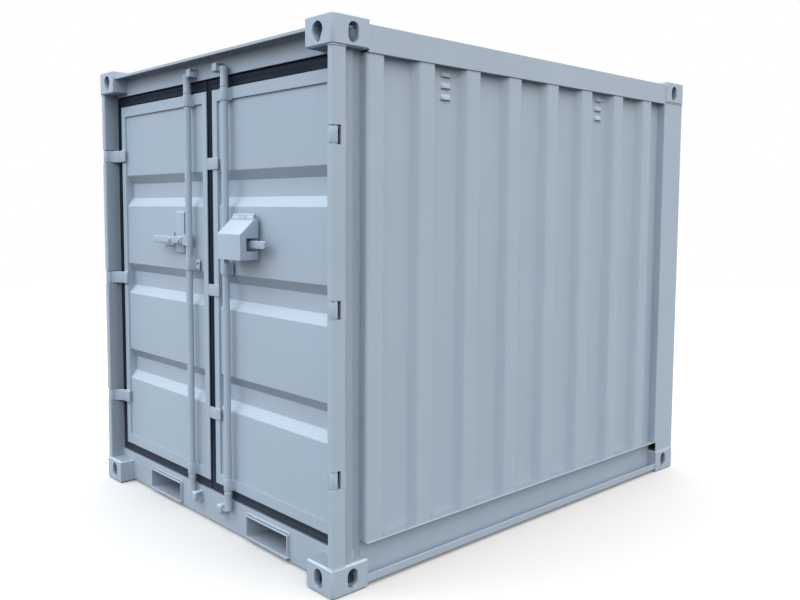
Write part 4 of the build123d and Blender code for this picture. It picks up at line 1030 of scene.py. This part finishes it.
class CONTAINER_OT_welds(bpy.types.Operator):
    """Lays the weld beads between posts, castings, rails, the sill and the fork pockets"""
    bl_idname = "container.welds"
    bl_label = "Welds"

    def execute(self, context):
        skin = HALF - 0.004
        lower_top = high("fitting_front_right_bottom")[2]
        upper_bottom, rail = low("fitting_front_right_top")[2], high("fitting_front_right_top")[1]
        front, post_bottom = low("front_post_right")[1:]
        post_top, rear = high("front_post_right")[2], high("rear_post_right")[1]
        inner = low("rear_post_right")[0]
        # Each bead as (path, part of the leg, pitch, seed), first where posts meet castings
        beads = []
        for z in (post_top, post_bottom):
            beads += [([(skin - POST_WIDE, front, z), (skin, front, z),
                        (skin, front + POST_DEEP, z)], 0.35, 0.008, 11),
                      ([(inner, rear, z), (skin, rear, z), (skin, -rail, z)], 0.35, 0.008, 12)]
        # Where the rails meet the castings
        for y in (rail, -rail):
            beads += [([(skin, y, low("bottom_rail_right")[2] + 0.003), (skin, y, lower_top)],
                       0.55, 0.008, 13),
                      ([(skin, y, upper_bottom), (skin, y, high("top_rail_right")[2] - 0.003)],
                       0.55, 0.008, 14)]
        # Round the mouths of the fork pockets, rough and thick, most of all below
        (x0, y0, z0), (x1, _, z1) = low("fork_pocket_right"), high("fork_pocket_right")
        for y in (FACE, BACK - 0.012):
            beads.append(([(x0, y, z0), (x1, y, z0), (x1, y, z1), (x0, y, z1), (x0, y, z0)],
                          0.6, 0.009, 15))
        beads.append(([(x0, y0 + 0.006, z0), (x1, y0 + 0.005, z0), (x1, y0 + 0.006, z0 + 0.014)],
                      0.75, 0.021, 16))
        # Up the sill's end, where it comes through the post's web
        end, web = 0.962, FACE + 0.054
        beads.append(([(end, web, lower_top), (end, web, SILL)], 0.6, 0.008, 17))
        shell = Shell()
        for sign in (-1, 1):
            for path, part, pitch, seed in beads:
                shell.weld(np.array(path) * (sign, 1, 1), sizes().weld * part, pitch, seed)
        shell.put("weld_beads", PLATE, "container")
        return {'FINISHED'}


class CONTAINER_OT_floor(bpy.types.Operator):
    """Lays the floor boards with their screws"""
    bl_idname = "container.floor"
    bl_label = "Floor boards"

    def execute(self, context):
        lo, hi = low("floor"), high("floor")
        count = int(round((hi[0] - lo[0]) / sizes().board))
        edges = np.linspace(lo[0], hi[0], count + 1)
        stop = high("front_post_right")[1] + 0.001
        inner = low("front_post_right")[0] - 0.001
        boards, screws = Shell(), Shell()
        # One row of screws over each cross member
        members = low("cross_members")[1] + 0.0225 + 0.309 * np.arange(6)
        head = [(0.0006, -0.004), (0.0048, -0.004), (0.0048, 0.0002), (0.0042, 0.0006),
                (0.002, 0.0002), (0.0006, 0.0002)]
        for x0, x1 in zip(edges[:-1], edges[1:]):
            # The outermost boards end behind the posts
            start = stop if x0 < -inner or x1 > inner else lo[1]
            boards.box((x0 + .001, x1 - .001), (start, hi[1]), (lo[2], hi[2]), 0.0015,
                       0.002, FRONT_VIEW)
            for y in members[members <= hi[1] - 0.02]:
                for x in (x0 + 0.035, x1 - 0.035):
                    screws.turned(head, (x, y, hi[2]), around=12)
        boards.put("floor_boards", "keruing_ply_sealed", "container", "floor")
        screws.put("floor_screws", "zinc_plated_steel", "container")
        return {'FINISHED'}


def seen_directly(tree):
    """1 on rays from the camera and those that a gloss or a glass sends on, else 0."""
    ray = add(tree, "LightPath").outputs
    seen = add(tree, "Math", {0: ray["Is Camera Ray"], 1: ray["Is Glossy Ray"]},
               operation='MAXIMUM')
    return add(tree, "Math", {0: seen, 1: ray["Is Transmission Ray"]}, operation='MAXIMUM')


def stand(data, x, y, z, at):
    """Stands a lamp or the camera at a place, with x, y and z as its own axes."""
    obj = bpy.data.objects.new(data.name, data)
    turn = np.eye(4)
    turn[:3] = np.stack([x, y, z, at], 1)
    obj.matrix_world = Matrix(turn.tolist())
    bpy.context.scene.collection.objects.link(obj)
    return obj


class CONTAINER_OT_stage(bpy.types.Operator):
    """Sets the pale floor, the soft light and the camera"""
    bl_idname = "container.stage"
    bl_label = "Stage"

    def execute(self, context):
        context.scene.view_settings.view_transform = 'Standard'
        self.ground(context.scene)
        self.sky(context.scene)
        self.lamps()
        self.camera(context.scene)
        return {'FINISHED'}

    def ground(self, scene):
        """A flat disc 14 m in radius, pale where it is seen and grey where it throws
        light back."""
        radius, count, below = 14, 96, -0.0005
        a = np.linspace(0, 2 * math.pi, count, endpoint=False)
        mesh = bpy.data.meshes.new("ground")
        disc = np.stack([radius * np.cos(a), radius * np.sin(a), np.full(count, below)], 1)
        mesh.from_pydata(disc.tolist(), [], [list(range(count))])
        ground = bpy.data.objects.new("ground", mesh)
        scene.collection.objects.link(ground)
        m = bpy.data.materials.new("studio_floor")
        m.use_nodes = True
        t = m.node_tree
        t.nodes.clear()
        grey = add(t, "BsdfDiffuse", {0: (0.05, 0.05, 0.052, 1)})
        pale = add(t, "BsdfDiffuse", {0: (0.63, 0.61, 0.595, 1)})
        both = add(t, "AddShader", {0: pale, 1: add(t, "Emission", Strength=0.11)})
        mix = add(t, "MixShader", {0: seen_directly(t), 1: grey, 2: both})
        add(t, "OutputMaterial", {0: mix})
        mesh.materials.append(m)

    def sky(self, scene):
        """A sky that grows brighter upwards over a dark lower half, seen as a white
        backdrop: over the horizon its strength is 1.33 + 0.75 times the way's height."""
        world = bpy.data.worlds.new("sky")
        scene.world = world
        world.use_nodes = True
        t = world.node_tree
        t.nodes.clear()
        way = add(t, "SeparateXYZ", {0: add(t, "TexCoord").outputs["Generated"]}).outputs[2]
        edge = add(t, "MapRange", {0: way}, From_Min=-0.02, From_Max=0.06, To_Min=0.05,
                   To_Max=1.33)
        more = add(t, "MapRange", {0: way}, To_Max=0.75)
        up = add(t, "Math", {0: edge, 1: more}, operation='ADD')
        light = add(t, "Background", {0: (0.96, 0.985, 1.0, 1), "Strength": up})
        white = add(t, "Background", {0: (1, 1, 1, 1)}, Strength=1.0)
        mix = add(t, "MixShader", {0: seen_directly(t), 1: light, 2: white})
        add(t, "OutputWorld", {0: mix})

    def lamps(self):
        """Two large soft panels high beside the doors, cooler, and beside the wall,
        warmer, each turned to look at the middle of the container."""
        for name, at, size, power, tint in (
                ("door_side", (-2.2, -5.4, 6.0), 4.0, 115.0, (0.78, 1.0, 1.20)),
                ("wall_side", (5.4, -0.6, 6.0), 4.5, 60.0, (1.16, 0.94, 0.74))):
            lamp = bpy.data.lights.new(name, 'AREA')
            lamp.shape = 'DISK'
            lamp.size = size
            lamp.energy = power
            lamp.color = tint
            away = np.array(at) - (0, 0, 1.0)
            z = away / np.linalg.norm(away)
            x = np.cross((0.0, 1.0, 0.0), z)
            x /= np.linalg.norm(x)
            stand(lamp, x, np.cross(z, x), z, at)

    def camera(self, scene):
        """The photograph's viewpoint: yaw and pitch give the way it looks, and roll
        turns it about that way."""
        yaw, pitch, roll = 0.82046, 0.07883, -0.00621
        d = np.array([-math.sin(yaw) * math.cos(pitch), math.cos(yaw) * math.cos(pitch),
                      -math.sin(pitch)])
        level = np.array([math.cos(yaw), math.sin(yaw), 0.0])
        down = np.cross(d, level)
        right = level * math.cos(roll) + down * math.sin(roll)
        cam = bpy.data.cameras.new("camera")
        cam.sensor_width = 36.0
        cam.lens = 37.52
        cam.shift_x = -0.0013
        cam.shift_y = -0.0310
        cam.clip_end = 60.0
        scene.camera = stand(cam, right, -np.cross(d, right), -d, (3.4106, -3.1605, 1.4868))


OPERATORS = (CONTAINER_OT_steelwork, CONTAINER_OT_front_posts, CONTAINER_OT_leaves,
             CONTAINER_OT_side_walls, CONTAINER_OT_end_wall_and_roof, CONTAINER_OT_rubbers,
             CONTAINER_OT_lock_bars, CONTAINER_OT_leaf_gear, CONTAINER_OT_handles,
             CONTAINER_OT_lock_box, CONTAINER_OT_keepers, CONTAINER_OT_hinges,
             CONTAINER_OT_welds, CONTAINER_OT_floor, CONTAINER_OT_stage)


class CONTAINER_PT_panel(bpy.types.Panel):
    """Lists the container's sizes, colours and pieces"""
    bl_idname = "CONTAINER_PT_panel"
    bl_label = "Container"
    bl_space_type = 'VIEW_3D'
    bl_region_type = 'UI'
    bl_category = "Container"

    def draw(self, context):
        column = self.layout.column()
        for group in (context.scene.container_sizes, context.scene.container_colours):
            for key in group.__annotations__:
                column.prop(group, key)
        for operator in OPERATORS:
            column.operator(operator.bl_idname)


CLASSES = (ContainerSizes, ContainerColours) + OPERATORS + (CONTAINER_PT_panel,)


def register():
    for c in CLASSES:
        bpy.utils.register_class(c)
    bpy.types.Scene.container_sizes = bpy.props.PointerProperty(type=ContainerSizes)
    bpy.types.Scene.container_colours = bpy.props.PointerProperty(type=ContainerColours)


def unregister():
    del bpy.types.Scene.container_colours
    del bpy.types.Scene.container_sizes
    for c in reversed(CLASSES):
        bpy.utils.unregister_class(c)


def main():
    """Makes every piece in turn."""
    register()
    for operator in OPERATORS:
        family, name = operator.bl_idname.split(".")
        getattr(getattr(bpy.ops, family), name)()


if __name__ == "__main__":
    main()
